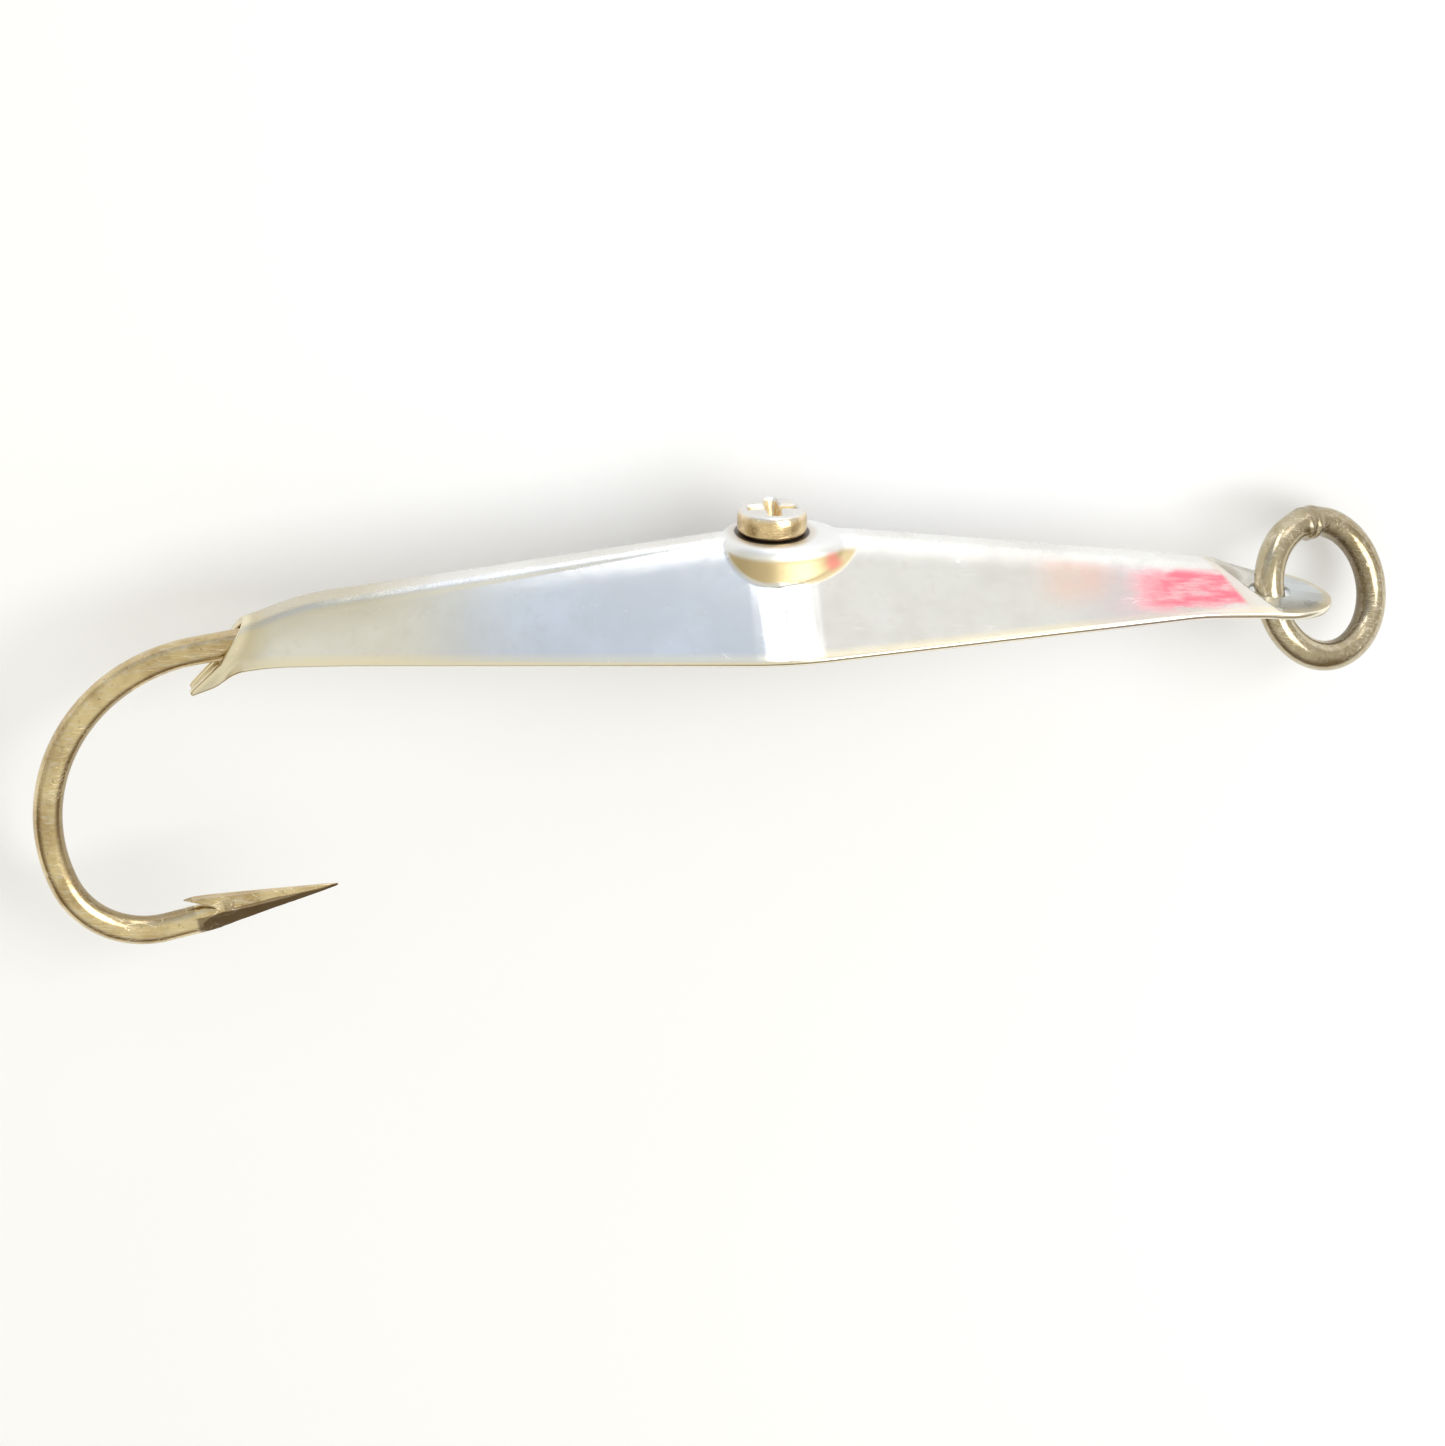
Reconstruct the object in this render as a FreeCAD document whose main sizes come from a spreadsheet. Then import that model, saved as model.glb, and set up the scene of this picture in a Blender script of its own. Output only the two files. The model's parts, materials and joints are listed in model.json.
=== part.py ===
import FreeCAD, Part
import os
import Sketcher

# A trolling lure: a folded sheet body with a flat tab and a hole at its head, a single hook
# whose eye is held in a pressed boss by a screw and nut, and a leader ring through the tab.
# It lies on its side: X runs from the hook to the ring, Y up the screw, Z across the body.
# Lengths are in millimetres and angles in degrees, measured from the screw's axis and from
# the highest line of the body's ridge.

SIZES = {
    # folded body: the sheet, then where its cross-sections stand along X
    "sheet_thickness": 0.8,
    "middle_place": 0.6,
    "head_place": 42.5,
    "fade_place": 46.2,
    "ring_hole_place": 50.2,
    # cross-sections over the shank, measured back or on from where the shank begins to bend
    "tail_setback": 10.32,
    "crimp_setback": 3.72,
    "tail_tip_overhang": 0.88,
    "tail_rise": 1.51,
    # how far the top of the ridge has come down at each section
    "head_drop": 4.65,
    "fade_drop": 7.1,
    "tab_drop": 8.35,
    "tab_droop": 8.0,
    # angle between each flange and the middle plane, and the inside radius of the fold
    "tail_tip_fold": -16.0,
    "crimp_fold": -14.0,
    "tail_fold": 18.0,
    "middle_fold": 51.0,
    "head_fold": 55.5,
    "fade_fold": 75.0,
    "tab_fold": 88.0,
    "ridge_radius": 1.0,
    "head_radius": 1.2,
    "fade_radius": 3.0,
    "tab_fold_radius": 8.0,
    # flanges, by their own width or by how far out their lower edges stand
    "tail_tip_flange": 4.1,
    "crimp_flange": 2.6,
    "tail_flange": 4.7,
    "middle_flange": 15.0,
    "tab_radius": 6.3,
    # slanted cut across the tail: its corners, back from the shank's bend and below the shank
    "cut_top_setback": 4.62,
    "cut_middle_setback": 2.22,
    "cut_middle_fall": 1.36,
    "fang_fall": 3.87,
    # boss around the screw
    "seat_drop": 0.85,
    "boss_margin": 1.0,
    "boss_draft": 6.0,
    "boss_depth": 7.2,
    # gap left between the boss and the sheet it is trimmed to, and how far cuts overrun
    "trim_gap": 0.05,
    "trim_reach": 1.0,
    # hook
    "wire_radius": 1.4,
    "eye_gap": 0.15,
    "shank_length": 53.9,
    "shank_pitch": 9.1,
    "front_bend_radius": 17.6,
    "front_bend_end": 114.0,
    "rear_bend_radius": 8.6,
    "rear_bend_end": 193.4,
    "spear_shoulder": 3.0,
    "spear_length": 14.6,
    "point_radius": 0.12,
    "barb_length": 4.6,
    "barb_height": 1.0,
    "barb_root_height": 0.4,
    "barb_notch_length": 1.38,
    "barb_notch_depth": 0.2,
    "barb_thickness": 1.0,
    "crimp_gap": 0.08,
    # screw, lock washer and nut, number six, thirty-two threads to the inch
    "screw_radius": 1.75,
    "screw_length": 7.94,
    "screw_end_chamfer": 0.3,
    "screw_head_radius": 3.43,
    "screw_head_height": 2.67,
    "head_edge_fillet": 0.4,
    "recess_reach": 1.85,
    "recess_half_width": 0.5,
    "recess_depth": 1.5,
    "screw_hole_gap": 0.2,
    "thread_gap": 0.05,
    "washer_inset": 0.12,
    "washer_bore_gap": 0.12,
    "washer_thickness": 0.79,
    "washer_split": 0.6,
    "nut_half_flats": 3.97,
    "nut_thickness": 2.78,
    "nut_chamfer": 0.35,
    "stack_gap": 0.02,
    # leader ring
    "ring_radius": 6.8,
    "ring_wire_radius": 1.5,
    "ring_hole_gap": 0.55,
    "ring_swing": 31.6,
    "ring_lean": -23.0,
    "ring_pitch": -8.5,
}

doc = FreeCAD.newDocument("trolling_lure")
sizes = doc.addObject("Spreadsheet::Sheet", "sizes")
for row, (alias, amount) in enumerate(SIZES.items(), start=1):
    sizes.set(f"A{row}", alias)
    sizes.set(f"B{row}", str(amount))
    sizes.setAlias(f"B{row}", alias)
doc.recompute()


def formula(text):
    """A formula in which every @word is a cell of the sheet."""
    return text.replace("@", "sizes.")


def number(text):
    """What a formula comes to now."""
    result = sizes.evalExpression(formula(text))
    return float(getattr(result, "Value", result))


def bind(thing, name, text):
    """Ties a property to a formula."""
    thing.setExpression(name, formula(text))


def new_body(label):
    body = doc.addObject("PartDesign::Body", label)
    body.Label = label
    return body


def origin_feature(body, role):
    return next(feature for feature in body.Origin.OriginFeatures if feature.Role == role)


def new_sketch(body, name, role, offset=None):
    """A sketch on one of the body's origin planes, or set off from it by a formula."""
    sketch = body.newObject("Sketcher::SketchObject", name)
    sketch.AttachmentSupport = [(origin_feature(body, role), "")]
    sketch.MapMode = "FlatFace"
    if offset:
        bind(sketch, ".AttachmentOffset.Base.z", offset)
    return sketch


def across_path(body, name, path, edge, share, back=None):
    """A sketch square to a path's edge, at a share of its length or set back from it by a formula."""
    sketch = body.newObject("Sketcher::SketchObject", name)
    sketch.AttachmentSupport = [(path, edge)]
    sketch.MapMode = "NormalToEdge"
    sketch.MapPathParameter = share
    if back:
        bind(sketch, ".AttachmentOffset.Base.z", back)
    return sketch


def place_point(sketch, item, end, place):
    """Holds one point of a sketch at the place that two formulas give."""
    for kind, text in zip(("DistanceX", "DistanceY"), place):
        amount = number(text)
        index = sketch.addConstraint(Sketcher.Constraint(kind, -1, 1, item, end, amount))
        bind(sketch, f"Constraints[{index}]", text)


def spot(place):
    return FreeCAD.Vector(number(place[0]), number(place[1]), 0)


def draw(sketch, corners, arcs=None, closed=True):
    """Joins corners with lines. arcs gives the sides that are arcs instead, each with its
    centre, its radius and whether it turns left."""
    arcs = arcs or {}
    spots = [spot(corner) for corner in corners]
    sides = []
    for side in range(len(corners) if closed else len(corners) - 1):
        start = spots[side]
        end = spots[(side + 1) % len(corners)]
        if side not in arcs:
            item = sketch.addGeometry(Part.LineSegment(start, end))
            sides.append((item, 1, 2))
            continue
        centre_place, radius, turns_left = arcs[side]
        centre = spot(centre_place)
        circle = Part.Circle(centre, FreeCAD.Vector(0, 0, 1), number(radius))
        first, last = (circle.parameter(point) for point in (start, end))
        if not turns_left:
            first, last = last, first
        item = sketch.addGeometry(Part.ArcOfCircle(circle, first, last))
        sides.append((item, 1, 2) if turns_left else (item, 2, 1))
        index = sketch.addConstraint(Sketcher.Constraint("Radius", item, number(radius)))
        bind(sketch, f"Constraints[{index}]", radius)
    for side, (item, start, end) in enumerate(sides):
        place_point(sketch, item, start, corners[side])
        if side + 1 < len(sides) or closed:
            following, its_start, _ = sides[(side + 1) % len(sides)]
            sketch.addConstraint(Sketcher.Constraint("Coincident", item, end, following, its_start))
        else:
            place_point(sketch, item, end, corners[-1])


def draw_circle(sketch, place, radius):
    circle = Part.Circle(spot(place), FreeCAD.Vector(0, 0, 1), number(radius))
    item = sketch.addGeometry(circle)
    place_point(sketch, item, 3, place)
    index = sketch.addConstraint(Sketcher.Constraint("Radius", item, number(radius)))
    bind(sketch, f"Constraints[{index}]", radius)


def revolve(body, kind, name, sketch, role):
    """A full turn of a sketch about one of the body's own axes."""
    turn = body.newObject(f"PartDesign::{kind}", name)
    turn.Profile = sketch
    turn.ReferenceAxis = (origin_feature(body, role), [""])
    turn.Angle = 360
    return turn


def pad(body, kind, name, sketch, length, middle=False, backwards=False):
    block = body.newObject(f"PartDesign::{kind}", name)
    block.Profile = sketch
    bind(block, "Length", length)
    block.Midplane = middle
    block.Reversed = backwards
    return block


# Sizes that follow from the screw and the hook's wire.
EYE_DROP = "(@seat_drop + @sheet_thickness + @stack_gap + @wire_radius)"
SHANK_FALL = "tan(@shank_pitch)"
CRIMP_BORE = "(@wire_radius + @crimp_gap)"
EYE_RADIUS = "(@screw_radius + @eye_gap + @wire_radius)"
WASHER_RADIUS = f"({EYE_RADIUS} - @washer_inset)"
BOSS_RADIUS = f"({EYE_RADIUS} + @wire_radius + @boss_margin)"
RING_HOLE_RADIUS = "(@ring_wire_radius + @ring_hole_gap)"
# Where the hook's shank stops being straight, and the places in the tail that follow it.
SHANK_END = f"({EYE_RADIUS} + @shank_length * cos(@shank_pitch))"
TAIL_PLACE = f"({SHANK_END} - @tail_setback)"
CRIMP_PLACE = f"({SHANK_END} - @crimp_setback)"
TAIL_TIP_PLACE = f"({SHANK_END} + @tail_tip_overhang)"
CUT_TOP_PLACE = f"({SHANK_END} - @cut_top_setback)"
CUT_MIDDLE_PLACE = f"({SHANK_END} - @cut_middle_setback)"
# A length that passes right through the lure.
THROUGH = "@middle_flange * 4"


def shank_height(place):
    """Height of the shank's centre line at a place on the tail side."""
    return f"(-{EYE_DROP} - ({place} - {EYE_RADIUS}) * {SHANK_FALL})"


def below(drop, radius):
    """Height of the fold's centre where the ridge's top has come down by drop."""
    return f"(-{drop} - {radius} - @sheet_thickness)"


def flange_to(half_width, fold, radius):
    """Flange width that brings the lower edge out to half_width."""
    return f"(({half_width} - ({radius} + @sheet_thickness) * cos({fold})) / sin({fold}))"


NOSE_PLACE = "(@ring_hole_place + @tab_radius + @trim_reach)"
TAB_FALL = "tan(@tab_droop)"
TAB_FLANGE = flange_to("@tab_radius", "@tab_fold", "@tab_fold_radius")
NOSE_DROP = f"(@tab_drop + ({NOSE_PLACE} - @ring_hole_place) * {TAB_FALL})"

# The body's cross-sections. Each is a V of sheet with a rounded ridge: its place along X,
# the height of the fold's centre, the fold's angle, its inside radius and the flange's width.
SECTIONS = {
    "tail_tip": (f"-{TAIL_TIP_PLACE}", shank_height(TAIL_TIP_PLACE), "@tail_tip_fold",
                 CRIMP_BORE, "@tail_tip_flange"),
    "crimp": (f"-{CRIMP_PLACE}", shank_height(CRIMP_PLACE), "@crimp_fold",
              CRIMP_BORE, "@crimp_flange"),
    "tail": (f"-{TAIL_PLACE}", f"({shank_height(TAIL_PLACE)} + @tail_rise)", "@tail_fold",
             CRIMP_BORE, "@tail_flange"),
    "middle": ("@middle_place", below("0", "@ridge_radius"), "@middle_fold",
               "@ridge_radius", "@middle_flange"),
    "head": ("@head_place", below("@head_drop", "@head_radius"), "@head_fold",
             "@head_radius", flange_to("@tab_radius", "@head_fold", "@head_radius")),
    "fade": ("@fade_place", below("@fade_drop", "@fade_radius"), "@fade_fold",
             "@fade_radius", flange_to("@tab_radius", "@fade_fold", "@fade_radius")),
    "tab": ("@ring_hole_place", below("@tab_drop", "@tab_fold_radius"), "@tab_fold",
            "@tab_fold_radius", TAB_FLANGE),
    "nose": (NOSE_PLACE, below(NOSE_DROP, "@tab_fold_radius"), "@tab_fold",
             "@tab_fold_radius", TAB_FLANGE),
}


def on_fold(centre, fold, radius):
    """Where the flat of a flange begins, at this radius: height, then distance from the middle."""
    return f"{centre} + {radius} * sin({fold})", f"{radius} * cos({fold})"


def on_edge(centre, fold, radius, flange):
    """Where the flat of a flange ends."""
    height, out = on_fold(centre, fold, radius)
    return f"{height} - {flange} * cos({fold})", f"{out} + {flange} * sin({fold})"


def mirrored(place):
    return place[0], f"-({place[1]})"


def sheet_section(body, name):
    place, centre, fold, inside, flange = SECTIONS[name]
    outside = f"({inside} + @sheet_thickness)"
    outer_edge = on_edge(centre, fold, outside, flange)
    outer_fold = on_fold(centre, fold, outside)
    inner_fold = on_fold(centre, fold, inside)
    inner_edge = on_edge(centre, fold, inside, flange)
    sketch = new_sketch(body, f"{name}_section", "YZ_Plane", place)
    corners = [outer_edge, outer_fold, mirrored(outer_fold), mirrored(outer_edge),
               mirrored(inner_edge), mirrored(inner_fold), inner_fold, inner_edge]
    arcs = {1: ((centre, "0"), outside, False), 5: ((centre, "0"), inside, True)}
    draw(sketch, corners, arcs)
    return sketch


def hollow_section(body, name):
    """The space under the fold, kept trim_gap clear of the sheet."""
    place, centre, fold, inside, flange = SECTIONS[name]
    radius = f"({inside} - @trim_gap)"
    near_edge = on_edge(centre, fold, radius, flange)
    near_fold = on_fold(centre, fold, radius)
    sketch = new_sketch(body, f"{name}_hollow", "YZ_Plane", place)
    corners = [near_edge, near_fold, mirrored(near_fold), mirrored(near_edge)]
    draw(sketch, corners, {1: ((centre, "0"), radius, False)})
    return sketch


def loft(body, kind, name, sketches):
    skin = body.newObject(f"PartDesign::{kind}", name)
    skin.Profile = sketches[0]
    skin.Sections = sketches[1:]
    skin.Ruled = True
    return skin


UNDER_SEAT = "(@seat_drop + @sheet_thickness)"


def boss_side(drop, inset="0"):
    """A point on the boss's drafted side, or inset from it, this far below the ridge."""
    radius = f"{BOSS_RADIUS} - {inset} + ({drop} - @seat_drop) * tan(@boss_draft)"
    return radius, f"-{drop}"


BOSS_INSET = "@sheet_thickness / cos(@boss_draft)"


def make_boss_wall():
    """The boss's side, a drafted collar whose lower end is trimmed to the folded sheet."""
    body = new_body("boss_wall")
    collar = new_sketch(body, "collar_outline", "XY_Plane")
    draw(collar, [boss_side("@seat_drop"), boss_side("@boss_depth"),
                  boss_side("@boss_depth", BOSS_INSET), boss_side("@seat_drop", BOSS_INSET)])
    revolve(body, "Revolution", "collar", collar, "Y_Axis")
    hollows = [hollow_section(body, name) for name in ("tail", "middle", "head")]
    loft(body, "SubtractiveLoft", "collar_trim", hollows)
    return body


def make_body_shell():
    body = new_body("body_shell")
    sections = [sheet_section(body, name) for name in SECTIONS]
    loft(body, "AdditiveLoft", "folded_sheet", sections)

    # The boss is a drafted cup pressed up through the ridge. Its bowl is opened in the sheet,
    # then its side is added and the flat seat that closes it under the screw's head.
    bowl = new_sketch(body, "bowl_outline", "XY_Plane")
    draw(bowl, [("0", f"-{UNDER_SEAT}"), boss_side(UNDER_SEAT, BOSS_INSET),
                boss_side("@boss_depth", BOSS_INSET), ("0", "-@boss_depth")])
    revolve(body, "Groove", "bowl", bowl, "Y_Axis")
    wall = body.newObject("PartDesign::Boolean", "boss")
    wall.Type = "Fuse"
    wall.Group = [make_boss_wall()]
    seat = new_sketch(body, "seat_outline", "XY_Plane")
    seat_radius = f"({BOSS_RADIUS} - @sheet_thickness / 2)"
    draw(seat, [("0", "-@seat_drop"), (seat_radius, "-@seat_drop"),
                (seat_radius, f"-{UNDER_SEAT}"), ("0", f"-{UNDER_SEAT}")])
    revolve(body, "Revolution", "seat", seat, "Y_Axis")

    # What is left of the ridge above the seat is pressed flat.
    level = new_sketch(body, "level_outline", "XY_Plane")
    reach = f"({BOSS_RADIUS} + @sheet_thickness * 2)"
    draw(level, [("0", "-@seat_drop"), (reach, "-@seat_drop"), (reach, "@sheet_thickness"),
                 ("0", "@sheet_thickness")])
    revolve(body, "Groove", "level", level, "Y_Axis")

    holes = new_sketch(body, "hole_outline", "XZ_Plane")
    draw_circle(holes, ("0", "0"), "@screw_radius + @screw_hole_gap")
    draw_circle(holes, ("@ring_hole_place", "0"), RING_HOLE_RADIUS)
    pad(body, "Pocket", "holes", holes, THROUGH, middle=True)

    # The tab ends in a half circle about its hole, cut from a strip that runs past it.
    nose = new_sketch(body, "nose_outline", "XZ_Plane")
    past = f"({NOSE_PLACE} + @trim_reach)"
    side = "(@tab_radius + @trim_reach)"
    corners = [("@ring_hole_place", "@tab_radius"), ("@ring_hole_place", side), (past, side),
               (past, f"-{side}"), ("@ring_hole_place", f"-{side}"),
               ("@ring_hole_place", "-@tab_radius"), ("@ring_hole_place + @tab_radius", "0")]
    quarter = (("@ring_hole_place", "0"), "@tab_radius", True)
    draw(nose, corners, {5: quarter, 6: quarter})
    pad(body, "Pocket", "nose", nose, THROUGH, middle=True)

    # The tail is cut off on a slant that leaves the two lower corners as a short fang.
    cut = new_sketch(body, "tail_cut_outline", "XY_Plane")
    above = f"({shank_height(CUT_TOP_PLACE)} + {CRIMP_BORE} + @sheet_thickness + @trim_reach)"
    middle = f"({shank_height(CUT_MIDDLE_PLACE)} - @cut_middle_fall)"
    fang = f"({shank_height(TAIL_TIP_PLACE)} - @fang_fall)"
    beyond = f"-({TAIL_TIP_PLACE} + @trim_reach)"
    corners = [(f"-{CUT_TOP_PLACE}", above), (f"-{CUT_MIDDLE_PLACE}", middle),
               (f"-{TAIL_TIP_PLACE}", fang), (beyond, fang), (beyond, above)]
    draw(cut, corners)
    pad(body, "Pocket", "tail_cut", cut, THROUGH, middle=True)
    return body


def make_hook():
    body = new_body("hook")
    eye_height = f"(-{EYE_DROP})"
    eye = new_sketch(body, "eye_outline", "XY_Plane")
    draw_circle(eye, (EYE_RADIUS, eye_height), "@wire_radius")
    revolve(body, "Revolution", "eye", eye, "Y_Axis")

    # The wire's centre line: the straight shank, then two arcs, then the foot of the spear.
    # An angle is how far the line has turned from pointing straight back along X.
    def along(start, radius, first, last):
        centre = (f"({start[0]} + {radius} * sin({first}))", f"({start[1]} - {radius} * cos({first}))")
        end = (f"({centre[0]} - {radius} * sin({last}))", f"({centre[1]} + {radius} * cos({last}))")
        return centre, end

    def onward(start, length, angle):
        return f"({start[0]} - {length} * cos({angle}))", f"({start[1]} - {length} * sin({angle}))"

    shank_start = (f"(-{EYE_RADIUS})", eye_height)
    shank_end = onward(shank_start, "@shank_length", "@shank_pitch")
    front_centre, front_end = along(shank_end, "@front_bend_radius", "@shank_pitch", "@front_bend_end")
    rear_centre, rear_end = along(front_end, "@rear_bend_radius", "@front_bend_end", "@rear_bend_end")
    shoulder = onward(rear_end, "@spear_shoulder", "@rear_bend_end")
    path = new_sketch(body, "wire_path", "XY_Plane")
    draw(path, [shank_start, shank_end, front_end, rear_end, shoulder],
         {1: (front_centre, "@front_bend_radius", True), 2: (rear_centre, "@rear_bend_radius", True)},
         closed=False)
    profile = across_path(body, "wire_profile", path, "Edge1", 0)
    draw_circle(profile, ("0", "0"), "@wire_radius")
    wire = body.newObject("PartDesign::AdditivePipe", "wire")
    wire.Profile = profile
    wire.Spine = (path, ["Edge1", "Edge2", "Edge3", "Edge4"])

    # The spear tapers to its point straight on from the wire's end.
    foot = across_path(body, "spear_foot", path, "Edge4", 1)
    draw_circle(foot, ("0", "0"), "@wire_radius")
    point = across_path(body, "spear_point", path, "Edge4", 1, "-@spear_length")
    draw_circle(point, ("0", "0"), "@point_radius")
    loft(body, "AdditiveLoft", "spear", [foot, point])

    # The barb is a thin wedge that stands back from the spear's upper side.
    barb = new_sketch(body, "barb_outline", "XY_Plane")
    taper_place, taper_height = shoulder
    root = f"({taper_place} + @barb_length)"
    top = f"({taper_height} + @wire_radius)"
    notch = (f"({taper_place} + @barb_notch_length)", f"({top} - @barb_notch_depth)")
    draw(barb, [(taper_place, f"({top} + @barb_height)"), (root, f"({top} + @barb_root_height)"),
                (root, taper_height), notch])
    pad(body, "Pad", "barb", barb, "@barb_thickness", middle=True)
    return body


def make_screw():
    body = new_body("screw")
    outline = new_sketch(body, "screw_outline", "XY_Plane")
    top = "(@screw_head_height - @seat_drop)"
    end = "(-@seat_drop - @screw_length)"
    corners = [("0", top), ("@screw_head_radius - @head_edge_fillet", top),
               ("@screw_head_radius", f"{top} - @head_edge_fillet"),
               ("@screw_head_radius", "-@seat_drop"), ("@screw_radius", "-@seat_drop"),
               ("@screw_radius", f"{end} + @screw_end_chamfer"),
               ("@screw_radius - @screw_end_chamfer", end), ("0", end)]
    rounding = ("@screw_head_radius - @head_edge_fillet", f"{top} - @head_edge_fillet")
    draw(outline, corners, {1: (rounding, "@head_edge_fillet", False)})
    revolve(body, "Revolution", "turned", outline, "Y_Axis")
    cross = new_sketch(body, "recess_outline", "XZ_Plane", f"-{top}")
    reach = "@recess_reach"
    half = "@recess_half_width"
    quarter = [(reach, half), (half, half), (half, reach)]
    corners = []
    for across, up in ((1, 1), (-1, 1), (-1, -1), (1, -1)):
        turned = [(f"{across} * {a}", f"{up} * {b}") for a, b in quarter]
        corners += turned if across * up > 0 else turned[::-1]
    draw(cross, corners)
    pad(body, "Pocket", "recess", cross, "@recess_depth", backwards=True)
    return body


WASHER_TOP = "(@seat_drop + @sheet_thickness + @wire_radius * 2 + @stack_gap * 2)"
NUT_TOP = f"({WASHER_TOP} + @washer_thickness + @stack_gap)"


def make_lock_washer():
    body = new_body("lock_washer")
    disc = new_sketch(body, "washer_outline", "XZ_Plane", WASHER_TOP)
    draw_circle(disc, ("0", "0"), WASHER_RADIUS)
    draw_circle(disc, ("0", "0"), "@screw_radius + @washer_bore_gap")
    pad(body, "Pad", "disc", disc, "@washer_thickness")
    split = new_sketch(body, "split_outline", "XZ_Plane", WASHER_TOP)
    reach = f"({WASHER_RADIUS} + @trim_reach)"
    half = "@washer_split / 2"
    draw(split, [("0", f"-{half}"), (reach, f"-{half}"), (reach, half), ("0", half)])
    pad(body, "Pocket", "split", split, THROUGH, middle=True)
    return body


def make_nut():
    body = new_body("nut")
    hexagon = new_sketch(body, "nut_outline", "XZ_Plane", NUT_TOP)
    corner = "@nut_half_flats / cos(30)"
    corners = [(f"{corner} * cos({turn})", f"{corner} * sin({turn})") for turn in range(0, 360, 60)]
    draw(hexagon, corners)
    pad(body, "Pad", "block", hexagon, "@nut_thickness")
    bore = new_sketch(body, "bore_outline", "XZ_Plane", NUT_TOP)
    draw_circle(bore, ("0", "0"), "@screw_radius + @thread_gap")
    pad(body, "Pocket", "bore", bore, THROUGH, middle=True)
    # The corners of both faces are turned off by a cone.
    rim = f"({corner} + @trim_reach)"
    rise = f"(@nut_chamfer * ({rim} - @nut_half_flats) / ({corner} - @nut_half_flats))"
    faces = {"upper": (f"-{NUT_TOP}", "-"), "lower": (f"-({NUT_TOP} + @nut_thickness)", "+")}
    for name, (face, inward) in faces.items():
        cone = new_sketch(body, f"{name}_chamfer_outline", "XY_Plane")
        draw(cone, [("@nut_half_flats", face), (rim, face), (rim, f"{face} {inward} {rise}")])
        revolve(body, "Groove", f"{name}_chamfer", cone, "Y_Axis")
    return body


def make_leader_ring():
    body = new_body("leader_ring")
    section = new_sketch(body, "ring_outline", "XZ_Plane")
    draw_circle(section, ("@ring_radius", "0"), "@ring_wire_radius")
    revolve(body, "Revolution", "ring", section, "Z_Axis")
    return body


def ring_placement():
    """The ring hangs in the tab's hole, swung to one side, leaning and turned a little."""
    hole = FreeCAD.Vector(number("@ring_hole_place"), number("-@tab_drop - @sheet_thickness / 2"), 0)
    turns = (("@ring_swing", (0, 1, 0)), ("@ring_lean", (1, 0, 0)), ("@ring_pitch", (0, 0, 1)))
    placement = FreeCAD.Placement(hole, FreeCAD.Rotation())
    for angle, axis in turns:
        rotation = FreeCAD.Rotation(FreeCAD.Vector(*axis), number(angle))
        placement = placement * FreeCAD.Placement(FreeCAD.Vector(), rotation)
    outwards = FreeCAD.Vector(number("@ring_radius"), 0, 0)
    return placement * FreeCAD.Placement(outwards, FreeCAD.Rotation())


def check_states(pieces):
    for thing in doc.Objects:
        if "Invalid" in thing.State or "Error" in thing.State:
            raise RuntimeError(f"{thing.Label} failed: {thing.State}")
    for piece in pieces:
        if piece.Shape.isNull() or not piece.Shape.isValid():
            raise RuntimeError(f"{piece.Label} has no valid shape")


pieces = [make_body_shell(), make_hook(), make_screw(), make_lock_washer(), make_nut(),
          make_leader_ring()]
pieces[-1].Placement = ring_placement()
doc.recompute()
check_states(pieces)

# The frame's origin is under the middle of the whole lure, so every piece moves by one shift.
box = FreeCAD.BoundBox()
for piece in pieces:
    box.add(piece.Shape.optimalBoundingBox(False))
shift = FreeCAD.Placement(FreeCAD.Vector(-box.Center.x, -box.Center.y, -box.ZMin), FreeCAD.Rotation())
for piece in pieces:
    piece.Placement = shift * piece.Placement
doc.recompute()

check_states(pieces)

os.makedirs("parts", exist_ok=True)
for piece in pieces:
    piece.Shape.exportStep(f"parts/{piece.Label}.step")
    print(f"{piece.Label}: {piece.Shape.Volume:.1f} mm3, {len(piece.Shape.Solids)} solid")
print(f"shift {shift.Base.x:.4f} {shift.Base.y:.4f} {shift.Base.z:.4f}, "
      f"size {box.XLength:.3f} {box.YLength:.3f} {box.ZLength:.3f}")
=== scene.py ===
import json
import math

import bmesh
import bpy
import numpy as np
from mathutils import Matrix, Vector
from mathutils.kdtree import KDTree


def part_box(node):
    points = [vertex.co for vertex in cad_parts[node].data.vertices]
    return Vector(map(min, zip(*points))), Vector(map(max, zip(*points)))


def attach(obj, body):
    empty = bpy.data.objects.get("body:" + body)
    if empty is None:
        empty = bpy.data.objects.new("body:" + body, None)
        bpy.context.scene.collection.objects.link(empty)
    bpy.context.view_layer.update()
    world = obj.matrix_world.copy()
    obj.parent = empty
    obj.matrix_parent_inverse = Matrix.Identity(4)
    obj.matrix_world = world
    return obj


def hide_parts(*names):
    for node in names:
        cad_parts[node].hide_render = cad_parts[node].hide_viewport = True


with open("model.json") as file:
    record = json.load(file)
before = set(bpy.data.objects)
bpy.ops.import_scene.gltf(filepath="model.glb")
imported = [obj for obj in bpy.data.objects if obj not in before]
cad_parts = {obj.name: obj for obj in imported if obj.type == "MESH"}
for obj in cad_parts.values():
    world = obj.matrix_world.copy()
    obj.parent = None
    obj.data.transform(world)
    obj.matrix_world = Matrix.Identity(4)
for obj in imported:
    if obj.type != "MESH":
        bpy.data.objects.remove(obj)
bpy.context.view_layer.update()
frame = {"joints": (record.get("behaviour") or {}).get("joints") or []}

MM = 0.001
TINY = 1e-6

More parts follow.
